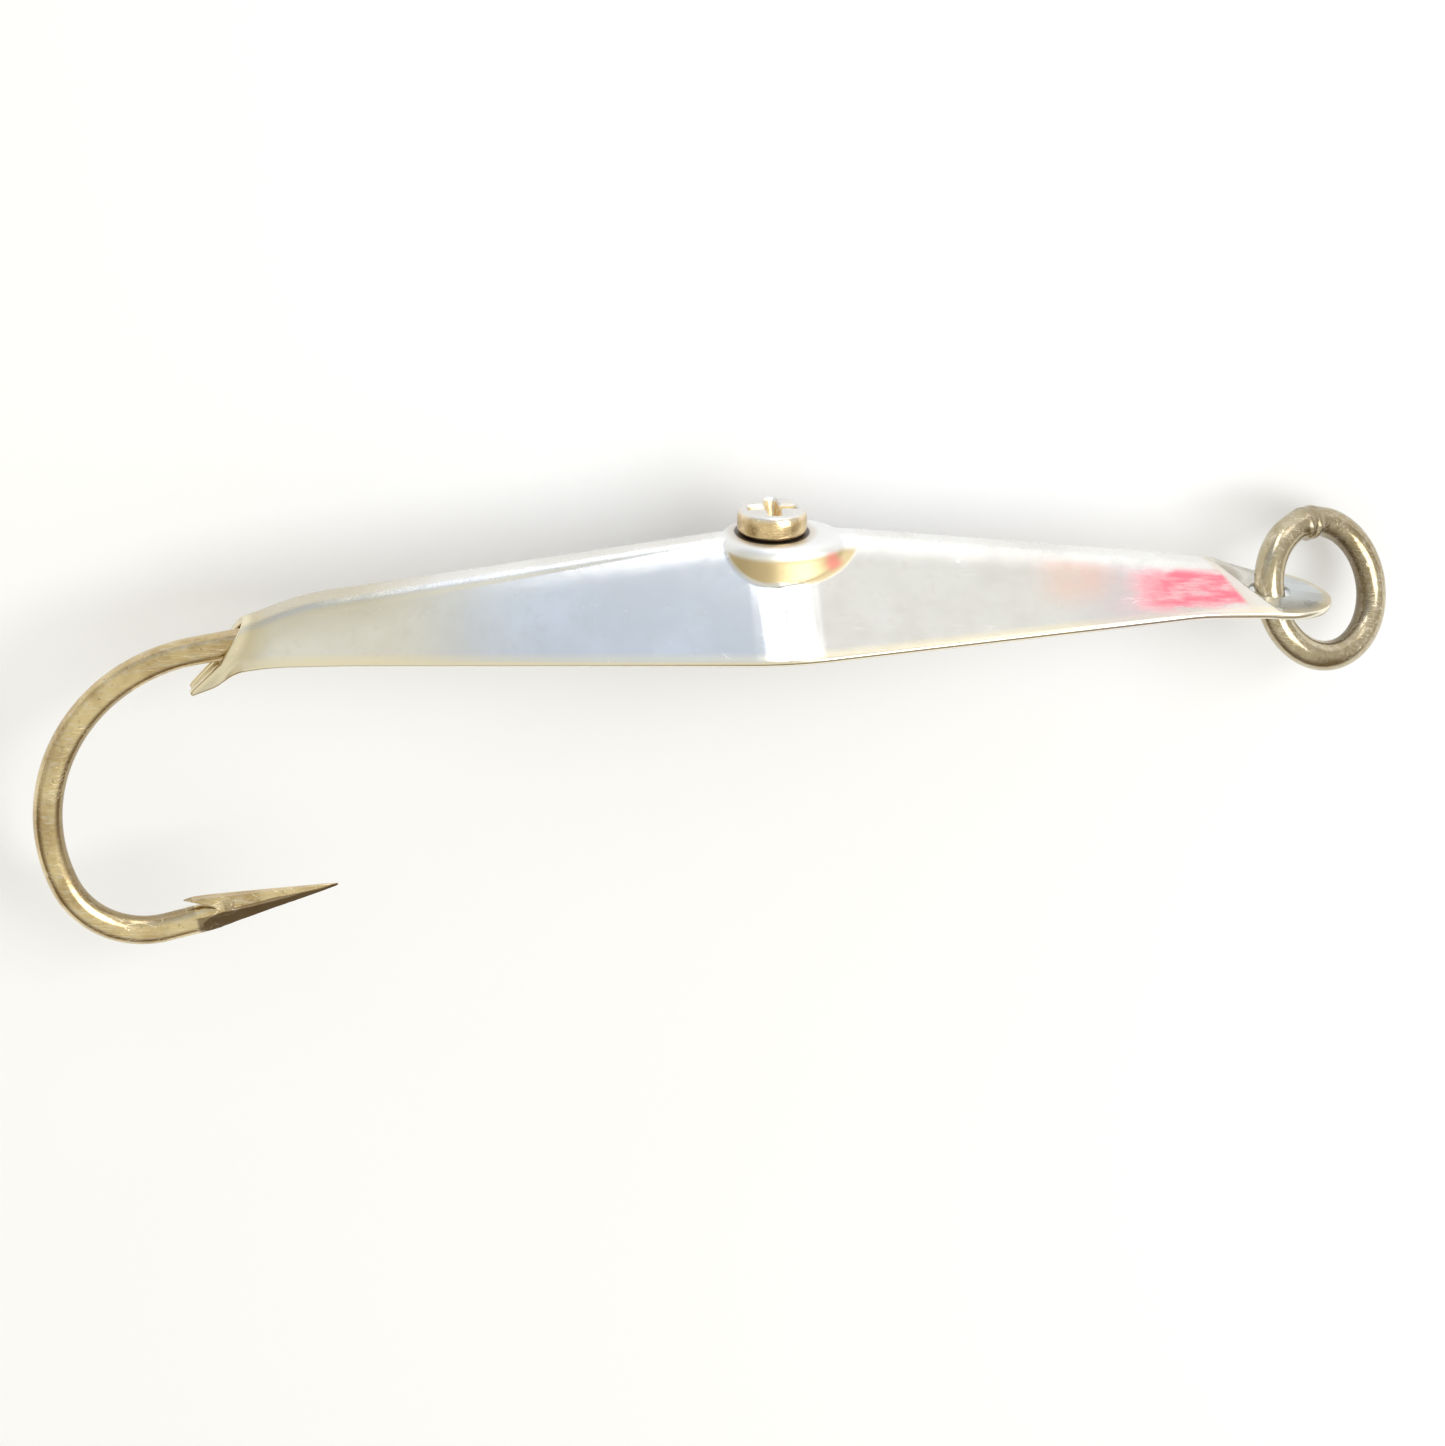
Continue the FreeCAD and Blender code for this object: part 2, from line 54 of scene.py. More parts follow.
# Sizes are millimetres in the lure's own axes: x from tail to head, y up the screw, z towards
# the near flange, with the origin where the screw's axis crosses the ridge line.
HEAD_CROWN, HEAD_UNDER, HEAD_RADIUS = 1.82, -0.85, 3.44
SCREW_LOW, SCREW_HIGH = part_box("screw")
ORIGIN = np.array([(SCREW_LOW.x + SCREW_HIGH.x) / 2, SCREW_HIGH.y - HEAD_CROWN * MM,
                   (SCREW_LOW.z + SCREW_HIGH.z) / 2])
RING_HOLE = (np.array(frame["joints"][0]["pos_m"]) - ORIGIN) / MM

SHEET = 0.8
RIM = 0.24
# The pressed boss, which is longer toward the head than it is wide.
BOSS_RADIUS = 5.0
BOSS_DRAFT = math.radians(12)
BOSS_ROUNDING = 1.25
BOSS_STRETCH = 0.70
# How far the crease before the tab slants back, for each mm out from the middle.
TAB_CREASE = 0.7


def in_frame(points):
    return np.asarray(points, float) * MM + ORIGIN


# ---------------------------------------------------------------- mesh helpers

def new_piece(name, points, faces):
    mesh = bpy.data.meshes.new(name)
    mesh.from_pydata([tuple(p) for p in in_frame(points)], [], [tuple(f) for f in faces])
    piece = bpy.data.objects.new(name, mesh)
    bpy.context.scene.collection.objects.link(piece)
    return piece


def weld(piece, gap=0.002, sharp=35):
    """Merges doubled points, points every face outwards and shades the piece smooth."""
    form = bmesh.new()
    form.from_mesh(piece.data)
    bmesh.ops.remove_doubles(form, verts=form.verts, dist=gap * MM)
    bmesh.ops.dissolve_degenerate(form, edges=form.edges, dist=gap * MM * 0.1)
    bmesh.ops.recalc_face_normals(form, faces=form.faces)
    form.to_mesh(piece.data)
    form.free()
    piece.data.shade_smooth()
    piece.data.set_sharp_from_angle(angle=math.radians(sharp))
    return piece


def grid(rows, columns, start=0, ring=False, closed=False):
    """Quads over rows x columns of points; ring closes the columns, closed closes the rows."""
    faces = []
    for i in range(rows if closed else rows - 1):
        for j in range(columns if ring else columns - 1):
            a, b = i * columns, (i + 1) % rows * columns
            k = (j + 1) % columns
            faces.append([start + a + j, start + a + k, start + b + k, start + b + j])
    return faces


def turned(name, outline, steps=96):
    """A solid of revolution about the screw's axis from (radius, height) points."""
    angles = np.linspace(0, 2 * math.pi, steps, endpoint=False)
    points = [(r * math.cos(a), h, r * math.sin(a)) for r, h in outline for a in angles]
    return weld(new_piece(name, points, grid(len(outline), steps, ring=True)))


def rounded(outline, radius, steps=5):
    """The outline with its inner corners replaced by arcs of about this radius."""
    done = [outline[0]]
    for before, here, after in zip(outline, outline[1:], outline[2:]):
        p, q, s = (np.array(v, float) for v in (before, here, after))
        reach = min(radius, np.linalg.norm(p - q) * 0.45, np.linalg.norm(s - q) * 0.45)
        start = q + (p - q) / np.linalg.norm(p - q) * reach
        end = q + (s - q) / np.linalg.norm(s - q) * reach
        for t in np.linspace(0, 1, steps):
            done.append(tuple((1 - t) ** 2 * start + 2 * t * (1 - t) * q + t ** 2 * end))
    return done + [outline[-1]]


def combine(piece, other, operation):
    """Cuts other out of piece, or fuses it in, and deletes other."""
    tool = piece.modifiers.new(operation.lower(), "BOOLEAN")
    tool.operation = operation
    tool.object = other
    tool.solver = "EXACT"
    made = bpy.data.meshes.new_from_object(
        piece.evaluated_get(bpy.context.evaluated_depsgraph_get()))
    piece.modifiers.clear()
    piece.data = made
    bpy.data.objects.remove(other)
    return piece


def join(piece, *others):
    form = bmesh.new()
    for one in (piece, *others):
        form.from_mesh(one.data)
    form.to_mesh(piece.data)
    form.free()
    for one in others:
        bpy.data.objects.remove(one)
    piece.data.shade_smooth()
    piece.data.set_sharp_from_angle(angle=math.radians(35))
    return piece


def paint(piece, name, values):
    layer = piece.data.attributes.new(name, "FLOAT", "POINT")
    layer.data.foreach_set("value", np.asarray(values, np.float32))


def own_points(piece):
    flat = np.empty(len(piece.data.vertices) * 3)
    piece.data.vertices.foreach_get("co", flat)
    return (flat.reshape(-1, 3) - ORIGIN) / MM


def move_points(piece, points):
    piece.data.vertices.foreach_set("co", in_frame(points).ravel())
    piece.data.update()


# ------------------------------------------------------- Geometry Nodes trees

def tree_with(name, sockets):
    tree = bpy.data.node_groups.new(name, "GeometryNodeTree")
    tree.interface.new_socket("Geometry", in_out="INPUT", socket_type="NodeSocketGeometry")
    ids = {}
    for label, kind in sockets:
        made = tree.interface.new_socket(label, in_out="INPUT", socket_type="NodeSocket" + kind)
        ids[label] = made.identifier
    tree.interface.new_socket("Geometry", in_out="OUTPUT", socket_type="NodeSocketGeometry")
    return tree, ids


def finish_tree(tree, start, geometry):
    """Ends a tree: smooth faces, real geometry, and the finish handed in."""
    nodes, links = tree.nodes, tree.links
    smooth = nodes.new("GeometryNodeSetShadeSmooth")
    real = nodes.new("GeometryNodeRealizeInstances")
    finish = nodes.new("GeometryNodeSetMaterial")
    end = nodes.new("NodeGroupOutput")
    links.new(geometry, smooth.inputs["Geometry"])
    links.new(smooth.outputs["Geometry"], real.inputs["Geometry"])
    links.new(real.outputs["Geometry"], finish.inputs["Geometry"])
    links.new(start.outputs["Finish"], finish.inputs["Material"])
    links.new(finish.outputs["Geometry"], end.inputs["Geometry"])


def swept_wire_tree():
    """Sweeps a round wire along the piece's own path, thickened by the path's radius."""
    tree, ids = tree_with("swept_wire", [("Wire Radius", "Float"), ("Sides", "Int"),
                                         ("Finish", "Material")])
    nodes, links = tree.nodes, tree.links
    start = nodes.new("NodeGroupInput")
    profile = nodes.new("GeometryNodeCurvePrimitiveCircle")
    thickness = nodes.new("GeometryNodeInputRadius")
    sweep = nodes.new("GeometryNodeCurveToMesh")
    sweep.inputs["Fill Caps"].default_value = True
    links.new(start.outputs["Wire Radius"], profile.inputs["Radius"])
    links.new(start.outputs["Sides"], profile.inputs["Resolution"])
    links.new(start.outputs["Geometry"], sweep.inputs["Curve"])
    links.new(profile.outputs["Curve"], sweep.inputs["Profile Curve"])
    links.new(thickness.outputs["Radius"], sweep.inputs["Scale"])
    finish_tree(tree, start, sweep.outputs["Mesh"])
    return tree, ids


def rolled_thread_tree():
    """A helical ridge with a three-cornered profile, standing on the screw's core."""
    tree, ids = tree_with("rolled_thread", [("Radius", "Float"), ("Depth", "Float"),
                                            ("Height", "Float"), ("Turns", "Float"),
                                            ("Finish", "Material")])
    nodes, links = tree.nodes, tree.links
    start = nodes.new("NodeGroupInput")
    helix = nodes.new("GeometryNodeCurveSpiral")
    helix.inputs["Resolution"].default_value = 64
    ridge = nodes.new("GeometryNodeCurvePrimitiveCircle")
    ridge.inputs["Resolution"].default_value = 3
    sweep = nodes.new("GeometryNodeCurveToMesh")
    sweep.inputs["Fill Caps"].default_value = True
    links.new(start.outputs["Radius"], helix.inputs["Start Radius"])
    links.new(start.outputs["Radius"], helix.inputs["End Radius"])
    links.new(start.outputs["Height"], helix.inputs["Height"])
    links.new(start.outputs["Turns"], helix.inputs["Rotations"])
    links.new(start.outputs["Depth"], ridge.inputs["Radius"])
    links.new(helix.outputs["Curve"], sweep.inputs["Curve"])
    links.new(ridge.outputs["Curve"], sweep.inputs["Profile Curve"])
    finish_tree(tree, start, sweep.outputs["Mesh"])
    return tree, ids


def grown(piece, tree, ids, values):
    """Runs a tree on a piece once and keeps the plain mesh that comes out."""
    tool = piece.modifiers.new(tree.name, "NODES")
    tool.node_group = tree
    for label, value in values.items():
        tool[ids[label]] = value
    made = bpy.data.meshes.new_from_object(
        piece.evaluated_get(bpy.context.evaluated_depsgraph_get()))
    name = piece.name
    bpy.data.objects.remove(piece)
    done = bpy.data.objects.new(name, made)
    bpy.context.scene.collection.objects.link(done)
    return done


def path_piece(name, runs):
    """A curve object of smooth paths; each run is (points, thickness factors, closed)."""
    curve = bpy.data.curves.new(name, "CURVE")
    curve.dimensions = "3D"
    curve.twist_mode = "Z_UP"
    for points, factors, closed in runs:
        line = curve.splines.new("POLY")
        line.points.add(len(points) - 1)
        placed = in_frame(points)
        for point, place, factor in zip(line.points, placed, factors):
            point.co = (*place, 1)
            point.radius = factor
        line.use_cyclic_u = closed
    piece = bpy.data.objects.new(name, curve)
    bpy.context.scene.collection.objects.link(piece)
    return piece


# --------------------------------------------------------------- shader maths

class Value:
    """A shader socket that can be used in ordinary arithmetic."""

    def __init__(self, tree, socket):
        self.tree = tree
        self.socket = socket

    def node(self, kind, settings=None, out=0, **values):
        made = self.tree.nodes.new(kind)
        for name, setting in (settings or {}).items():
            if name == "stops":
                ramp = made.color_ramp
                while len(ramp.elements) < len(setting):
                    ramp.elements.new(0.5)
                for stop, (place, colour) in zip(ramp.elements, setting):
                    stop.position = place
                    stop.color = (*colour, 1) if len(colour) == 3 else colour
            else:
                setattr(made, name, setting)
        for name, value in values.items():
            key = int(name[1:]) if name[0] == "i" and name[1:].isdigit() else name.replace("_", " ")
            socket = made.inputs[key]
            if isinstance(value, Value):
                self.tree.links.new(value.socket, socket)
            else:
                socket.default_value = value
        return Value(self.tree, made.outputs[out])

    def maths(self, operation, a, b=0.0):
        return self.node("ShaderNodeMath", {"operation": operation}, i0=a, i1=b)

    def __add__(self, other):
        return self.maths("ADD", self, other)

    def __sub__(self, other):
        return self.maths("SUBTRACT", self, other)

    def __rsub__(self, other):
        return self.maths("SUBTRACT", other, self)

    def __mul__(self, other):
        return self.maths("MULTIPLY", self, other)

    __radd__ = __add__
    __rmul__ = __mul__

    def root(self):
        return self.maths("SQRT", self)

    def clamped(self):
        return self.node("ShaderNodeClamp", i0=self)

    def step(self, low, high):
        """0 below low, 1 above high, smooth between; low may be the larger."""
        return self.node("ShaderNodeMapRange", {"interpolation_type": "SMOOTHSTEP"},
                         Value=self, From_Min=low, From_Max=high)

    def tinted(self, colour, other):
        """Mixes two colours by this value."""
        return self.node("ShaderNodeMix", {"data_type": "RGBA"}, out=2, i0=self, i6=colour, i7=other)

    def stretched(self, x, y, z, turn=(0, 0, 0)):
        return self.node("ShaderNodeMapping", i0=self, Scale=(x, y, z), Rotation=turn)

    def noise(self, scale, detail=3.0, roughness=0.55):
        return self.node("ShaderNodeTexNoise", i0=self, Scale=scale, Detail=detail,
                         Roughness=roughness)

    def cells(self, scale, feature="F1"):
        return self.node("ShaderNodeTexVoronoi", {"feature": feature}, i0=self, Scale=scale)


def new_metal(name):
    """A material with its principled node, and its Object coordinates in the lure's mm."""
    material = bpy.data.materials.new(name)
    material.use_nodes = True
    tree = material.node_tree
    shader = tree.nodes["Principled BSDF"]
    start = Value(tree, None)
    place = start.node("ShaderNodeTexCoord", out="Object")
    centred = place.node("ShaderNodeVectorMath", {"operation": "SUBTRACT"}, i0=place,
                         i1=tuple(ORIGIN))
    return material, shader, centred.node("ShaderNodeVectorMath", {"operation": "SCALE"},
                                          i0=centred, Scale=1 / MM)


def finish_metal(shader, colour, roughness, metallic, height, depth):
    """Links the varying sockets; height is a bump pattern and depth its size in metres."""
    tree = colour.tree
    tree.links.new(colour.socket, shader.inputs["Base Color"])
    tree.links.new(roughness.socket, shader.inputs["Roughness"])
    if isinstance(metallic, Value):
        tree.links.new(metallic.socket, shader.inputs["Metallic"])
    else:
        shader.inputs["Metallic"].default_value = metallic
    bump = colour.node("ShaderNodeBump", Strength=1.0, Distance=depth, Height=height)
    tree.links.new(bump.socket, shader.inputs["Normal"])


def hairlines(place, across, along, turn, amount):
    """Fine straight scratches: the thin walls between stretched cells, kept in patches."""
    lines = place.stretched(along, across, across, turn).cells(1.0, "DISTANCE_TO_EDGE")
    patches = place.stretched(0.12, 0.35, 0.35, turn).noise(1.0)
    return lines.step(0.02, 0.0) * patches.step(amount, amount + 0.12)


def axes(place):
    parts = place.tree.nodes.new("ShaderNodeSeparateXYZ")
    place.tree.links.new(place.socket, parts.inputs[0])
    return [Value(place.tree, parts.outputs[k]) for k in range(3)]


def attribute(place, name):
    return place.node("ShaderNodeAttribute", {"attribute_name": name}, out="Fac")


def worn_flash(place, x, y, z):
    """What is left of a painted flash near the head, brushed thin along the sheet, with the
    faint orange blush and lilac tint beside it."""
    brushed = place.stretched(0.25, 1.5, 1.5).noise(1.0, 4.0, 0.6)
    blotch = place.noise(0.42, 3.0)
    near = z.step(1.4, 2.4)
    spread = x + (blotch - 0.5) * 5.0 + (brushed - 0.5) * 2.5
    ends = spread.step(33.0, 39.0) * (x - z * TAB_CREASE).step(43.7, 43.0)
    lower = (y + (brushed - 0.5) * 1.6).step(-8.3, -7.6)
    upper = (y + (blotch - 0.5) * 1.5).step(-4.6, -5.7)
    worn_paint_and_rim_highlight = (brushed + (blotch * 0.35)).step(0.90, 0.56)
    flash = ends * lower * upper * near * (worn_paint_and_rim_highlight * 0.7 + 0.3)
    along = x.step(24.0, 29.5) * x.step(36.0, 30.5)
    blush = along * near * y.step(-8.0, -5.6) * y.step(-3.0, -4.4) * (blotch * 0.5 + 0.2)
    lilac = x.step(28.0, 34.0) * x.step(50.0, 42.0) * near * 0.5
    return flash, blush, lilac


def polished_sheet():
    """Polished stainless sheet: frosted where it was pressed and folded, with a red flash rubbed thin,
    fine scratches and pits. Painted reflections tint the fold's tail half, the tab, the bend, the boss's
    side and the tail; the rim has a painted highlight, and the seat round the head a painted reflection
    and shadow."""
    material, shader, place = new_metal("polished_stainless_sheet")
    x, y, z = axes(place)
    cloud = place.noise(0.09, 4.0)
    haze = place.noise(0.5, 5.0, 0.65)
    grain = place.stretched(0.35, 7.0, 7.0).noise(1.0, 4.0, 0.7)
    sparkle = place.noise(5.0, 3.0, 0.7)
    scratches = (hairlines(place, 1.9, 0.10, (0.2, 0.1, 0.25), 0.60)
                 + hairlines(place, 1.6, 0.12, (0.5, -0.3, -0.6), 0.62)
                 + hairlines(place, 1.3, 0.10, (-0.4, 0.2, 1.1), 0.64)).clamped()
    pits = place.cells(2.3).step(0.13, 0.05) * place.noise(0.8).step(0.52, 0.62)
    rim = attribute(place, "rim")

    # The regions: the boss's seat and side, the fold, the bend before the tab, and the tab.
    ahead = x.maths("MAXIMUM", x, 0.0) * BOSS_STRETCH + x.maths("MINIMUM", x, 0.0)
    from_axis = (ahead * ahead + z * z).root()
    from_screw = (x * x + z * z).root()
    side = z.maths("ABSOLUTE", z)
    seat = from_axis.step(6.0, 5.4) * y.step(-2.6, -1.8)
    proud = y + side * 0.81 + x.maths("ABSOLUTE", x) * 0.11 - 0.516
    wall = proud.step(-0.08, 0.10) * y.step(-1.7, -2.3) * from_axis.step(6.3, 5.9)
    fold = side.step(3.4, 1.2) * y.step(-12.0, -9.0)
    past_crease = x - side * TAB_CREASE
    bend = past_crease.step(42.6, 43.4) * y.step(-8.6, -8.3)
    tab = past_crease.step(43.8, 44.6)
    frosted = (seat + fold * (haze * 0.6 + 0.2) + tab * 0.3).clamped()

    colour = cloud.step(0.38, 0.66).tinted((0.76, 0.75, 0.73, 1), (0.83, 0.83, 0.82, 1))
    for share, tint in (
            (haze.step(0.5, 0.75) * 0.4, (0.70, 0.68, 0.64, 1)),
            (seat * 0.6, (0.90, 0.92, 0.94, 1)),
            # Painted reflections of the room: olive on the fold's tail half, sky blue on the tab, beige
            # on the bend, gold on the boss's side and on the tail.
            (fold * x.step(-30.0, -42.0) * 0.7, (0.56, 0.50, 0.36, 1)),
            (tab * 0.8, (0.84, 0.92, 1.0, 1)),
            (bend * 0.7, (0.72, 0.66, 0.56, 1)),
            (wall * 0.9, (0.58, 0.45, 0.23, 1)),
            (x.step(-48.5, -52.0) * 0.7, (0.64, 0.55, 0.34, 1)),
            # A painted highlight along the sheet's rounded rim.
            (rim * 0.75, (0.92, 0.84, 0.64, 1)),
            # Painted reflection of the head in the seat, then a painted shadow in the gap under the
            # head.
            (from_screw.step(4.9, 3.8) * seat * 0.45, (0.52, 0.42, 0.30, 1)),
            (from_screw.step(3.85, 3.6) * seat * 0.9, (0.06, 0.05, 0.05, 1))):
        colour = share.tinted(colour, tint)

    flash, blush, lilac = worn_flash(place, x, y, z)
    # A painted reflection of the red flash on the boss's side, added to the flash.
    flash_reflection = place.node("ShaderNodeVectorMath", {"operation": "DISTANCE"}, out="Value", i0=place,
                      i1=(5.9, -2.6, 4.2)).step(1.5, 0.5)
    flash = (flash + flash_reflection * from_axis.step(6.0, 5.6) * 0.6).clamped()
    for share, tint in ((lilac, (0.74, 0.66, 0.72, 1)), (blush, (0.90, 0.52, 0.42, 1)),
                        (flash * 0.9, (0.88, 0.12, 0.19, 1)),
                        (scratches * 0.3, (0.88, 0.88, 0.86, 1)),
                        (pits * 0.6, (0.25, 0.23, 0.20, 1))):
        colour = share.tinted(colour, tint)
    roughness = (haze * 0.08 + grain * 0.06 + scratches * 0.12 + pits * 0.3 + flash * 0.22
                 + rim * 0.04 + frosted * (sparkle * 0.25 + 0.16) + wall * 0.30 + 0.05)
    metallic = 1.0 - (flash * 0.55 + blush * 0.4)
    height = (grain * 0.04 + cloud * 0.25 - scratches * 0.12 - pits * 0.5 + flash * 0.2
              + frosted * sparkle * 0.7)
    finish_metal(shader, colour, roughness, metallic, height, 0.00002)
    return material


def plated_wire(name, light, deep, tarnish, base_rough, streak):
    """Tin plate in a warm tone: streaked along the wire, pitted, tarnished in patches, and darkened
    where the piece's layer holds painted shade and, on the ring, the weld's heat tint.
    """
    material, shader, place = new_metal(name)
    cloud = place.noise(0.22, 4.0)
    fine = place.noise(1.8, 5.0, 0.7)
    drawn = place.stretched(*streak).noise(1.0, 4.0, 0.65)
    pits = place.cells(1.9).step(0.2, 0.08) * fine.step(0.5, 0.62)
    scratches = (hairlines(place, 2.4, 0.3, (0.3, 0.4, 0.5), 0.47)
                 + hairlines(place, 2.0, 0.3, (-0.6, 0.2, 1.3), 0.53)).clamped()
    dark = attribute(place, "tarnish")
    colour = cloud.step(0.35, 0.68).tinted(light, deep)
    colour = (drawn.step(0.45, 0.75) * 0.5).tinted(colour, (0.80, 0.76, 0.66, 1))
    colour = (fine.step(0.55, 0.8) * 0.6).tinted(colour, tarnish)
    # Painted shade from the piece's layer, with the ring's weld heat tint, in the dark colour.
    colour = (dark * 0.85).tinted(colour, tarnish)
    colour = (scratches * 0.45).tinted(colour, (0.90, 0.86, 0.74, 1))
    colour = (pits * 0.7).tinted(colour, (0.16, 0.12, 0.07, 1))
    roughness = (fine * 0.12 + drawn * 0.06 + scratches * 0.15 + pits * 0.3 + dark * 0.15
                 + base_rough)
    height = drawn * 0.2 + fine * 0.22 - scratches * 0.3 - pits * 0.8
    finish_metal(shader, colour, roughness, 1.0, height, 0.00003)
    return material


def plated_fastener():
    material, shader, place = new_metal("plated_steel_fastener")
    cloud = place.noise(0.7, 4.0)
    fine = place.noise(4.0, 4.0, 0.7)
    lathe = place.stretched(0.6, 9.0, 0.6).noise(1.0, 3.0)
    scratches = hairlines(place, 3.2, 0.4, (0.3, 0.6, 0.2), 0.45)
    specks = place.cells(3.1).step(0.2, 0.1) * fine.step(0.5, 0.6)
    worn_paint_and_rim_highlight = attribute(place, "rim")
    _x, y, _z = axes(place)
    crown = y.step(HEAD_CROWN - 0.36, HEAD_CROWN - 0.26)
    colour = cloud.step(0.35, 0.7).tinted((0.86, 0.68, 0.40, 1), (0.66, 0.49, 0.27, 1))
    colour = (fine.step(0.55, 0.8) * 0.5).tinted(colour, (0.36, 0.31, 0.24, 1))
    # A painted highlight along the rims of the head, washer and nut.
    colour = (worn_paint_and_rim_highlight * 0.7).tinted(colour, (0.86, 0.84, 0.80, 1))
    # The head's top is painted grey against the gold sides: a painted reflection of the pale sky above.
    colour = (crown * 0.8).tinted(colour, (0.74, 0.76, 0.79, 1))
    colour = (specks * 0.6).tinted(colour, (0.18, 0.15, 0.11, 1))
    roughness = fine * 0.12 + cloud * 0.06 + scratches * 0.2 + specks * 0.25 + crown * 0.12 + 0.10
    height = lathe * 0.4 + fine * 0.3 - scratches * 0.5 - specks * 0.7
    finish_metal(shader, colour, roughness, 1.0, height, 0.00002)
    return material


POLISHED = polished_sheet()
TINNED_GOLD = plated_wire("tinned_hook_wire", (0.76, 0.62, 0.36, 1), (0.50, 0.37, 0.19, 1),
                          (0.17, 0.115, 0.06, 1), 0.09, (0.5, 2.5, 2.5))
TINNED_RING = plated_wire("tinned_ring_wire", (0.52, 0.45, 0.31, 1), (0.38, 0.31, 0.19, 1),
                          (0.13, 0.095, 0.06, 1), 0.08, (1.2, 1.2, 3.0))
FASTENER = plated_fastener()


# ------------------------------------------------------------ the folded sheet

def smooth_step(t):
    t = np.clip(t, 0, 1)
    return t * t * (3 - 2 * t)


def smooth_max(a, b, blend):
    h = np.clip(1 - np.abs(a - b) / blend, 0, 1)
    return np.maximum(a, b) + h * h * blend / 4


def smooth_min(a, b, blend):
    return -smooth_max(-a, -b, blend)


def ramp(u, blend):
    """0 below nothing, u above, with the corner rounded over blend."""
    return np.where(u > blend, u, np.where(u < -blend, 0, (u + blend) ** 2 / (4 * blend)))


EYE_DROP = 3.07
EYE_RADIUS = 3.2
SHANK_FALL = math.tan(math.radians(9.1))
CRIMP_BORE = 1.48


def shank_height(back):
    return -EYE_DROP - (back - EYE_RADIUS) * SHANK_FALL


def width_out(half_width, fold, radius):
    fold = math.radians(fold)
    return (half_width - (radius + SHEET) * math.cos(fold)) / math.sin(fold)


TAB_RADIUS = 6.3
HEAD_PLACE = 42.5
# place, height of the fold's centre, fold angle, inside radius, flange
SECTIONS = [
    (-60.0, shank_height(60.0), -15.0, CRIMP_BORE, 4.6),
    (-52.8, shank_height(52.8), -13.0, CRIMP_BORE, 2.9),
    (-46.2, -6.15 - CRIMP_BORE - SHEET, 18.0, CRIMP_BORE, 4.7),
    (0.6, -1.8, 51.0, 1.0, 15.0),
    (HEAD_PLACE, -6.65, 55.5, 1.2, width_out(TAB_RADIUS, 55.5, 1.2)),
    (50.2, -7.55, 61.0, 1.2, width_out(TAB_RADIUS, 61.0, 1.2)),
    (60.0, -7.9, 64.0, 1.2, width_out(TAB_RADIUS, 64.0, 1.2)),
]
FOLD_STEPS = 15
FINE_STEPS, COARSE_STEPS = 48, 17
FINE_SHARE = 0.58
FLANGE_SHARES = np.concatenate([
    np.linspace(0, FINE_SHARE, FINE_STEPS, endpoint=False),
    np.linspace(FINE_SHARE, 1, COARSE_STEPS)])


def half_outline(section, depth):
    """(height, out, share) points from the ridge's top to the near edge, depth under the skin."""
    _, centre, fold, inside, flange = section
    fold = math.radians(fold)
    radius = inside + SHEET - depth
    turns = np.linspace(math.pi / 2, fold, FOLD_STEPS, endpoint=False)
    arc = np.stack([centre + radius * np.sin(turns), radius * np.cos(turns), 0 * turns], 1)
    shares = FLANGE_SHARES
    out = shares * (flange - RIM)
    flat = np.stack([centre + radius * math.sin(fold) - out * math.cos(fold),
                     radius * math.cos(fold) + out * math.sin(fold), shares], 1)
    return np.concatenate([arc, flat])


def whole_outline(section, depth):
    half = half_outline(section, depth)
    far = half[:0:-1] * [1, -1, 1]
    return np.concatenate([far, half])


KEYS = np.array([s[0] for s in SECTIONS])
EASE_PLACES = [-60, -52.8, -46.2, -30, 0.6, 30, 42.5, 60]
EASE_REACH = [1.5, 2.2, 2.6, 4.0, 3.4, 3.0, 1.6, 1.6]


def hat_weights(x):
    """Share of each section at x, with each change of slope eased over a few mm."""
    reach = np.interp(x, EASE_PLACES, EASE_REACH)
    total = 0
    samples = np.linspace(-1, 1, 9)
    for t in samples:
        at = np.clip(x + t * reach, KEYS[0], KEYS[-1])
        total = total + np.stack([np.interp(at, KEYS, row) for row in np.eye(len(KEYS))], -1)
    return total / len(samples)


OUTLINES = {depth: np.stack([whole_outline(s, depth) for s in SECTIONS]) for depth in (0.0, SHEET)}
SHARES = OUTLINES[0.0][0][:, 2]
ACROSS = len(SHARES)
CREASE_LEAN = 3.6

TAB_LEVEL = -8.22


def skin_point(x, depth):
    """Height and width of the sheet across every column at x (array of ACROSS places)."""
    lean = CREASE_LEAN * SHARES * smooth_step((-41.0 - x) / 7.0) * smooth_step((x + 55.0) / 3.0)
    weights = hat_weights(x + lean)
    points = np.einsum("jk,kjc->jc", weights, OUTLINES[depth][:, :, :2])
    return points[:, 0], points[:, 1]


def boss_side(r, depth):
    """Height of the boss's seat and drafted side, depth under the skin."""
    corner = BOSS_RADIUS - depth * (1 - math.sin(BOSS_DRAFT)) / math.cos(BOSS_DRAFT)
    fall = 20
    outline = rounded([(0, 0), (corner, 0), (corner + fall * math.tan(BOSS_DRAFT), -fall)],
                      max(BOSS_ROUNDING - depth, 0.35), 14)
    radii, heights = np.array(outline).T
    return HEAD_UNDER - depth + np.interp(r, radii, heights)


def tab_height(x):
    """Height of the tab's upper face on the middle plane; it droops toward the nose."""
    return TAB_LEVEL - 0.0115 * np.maximum(x - 47, 0) ** 2


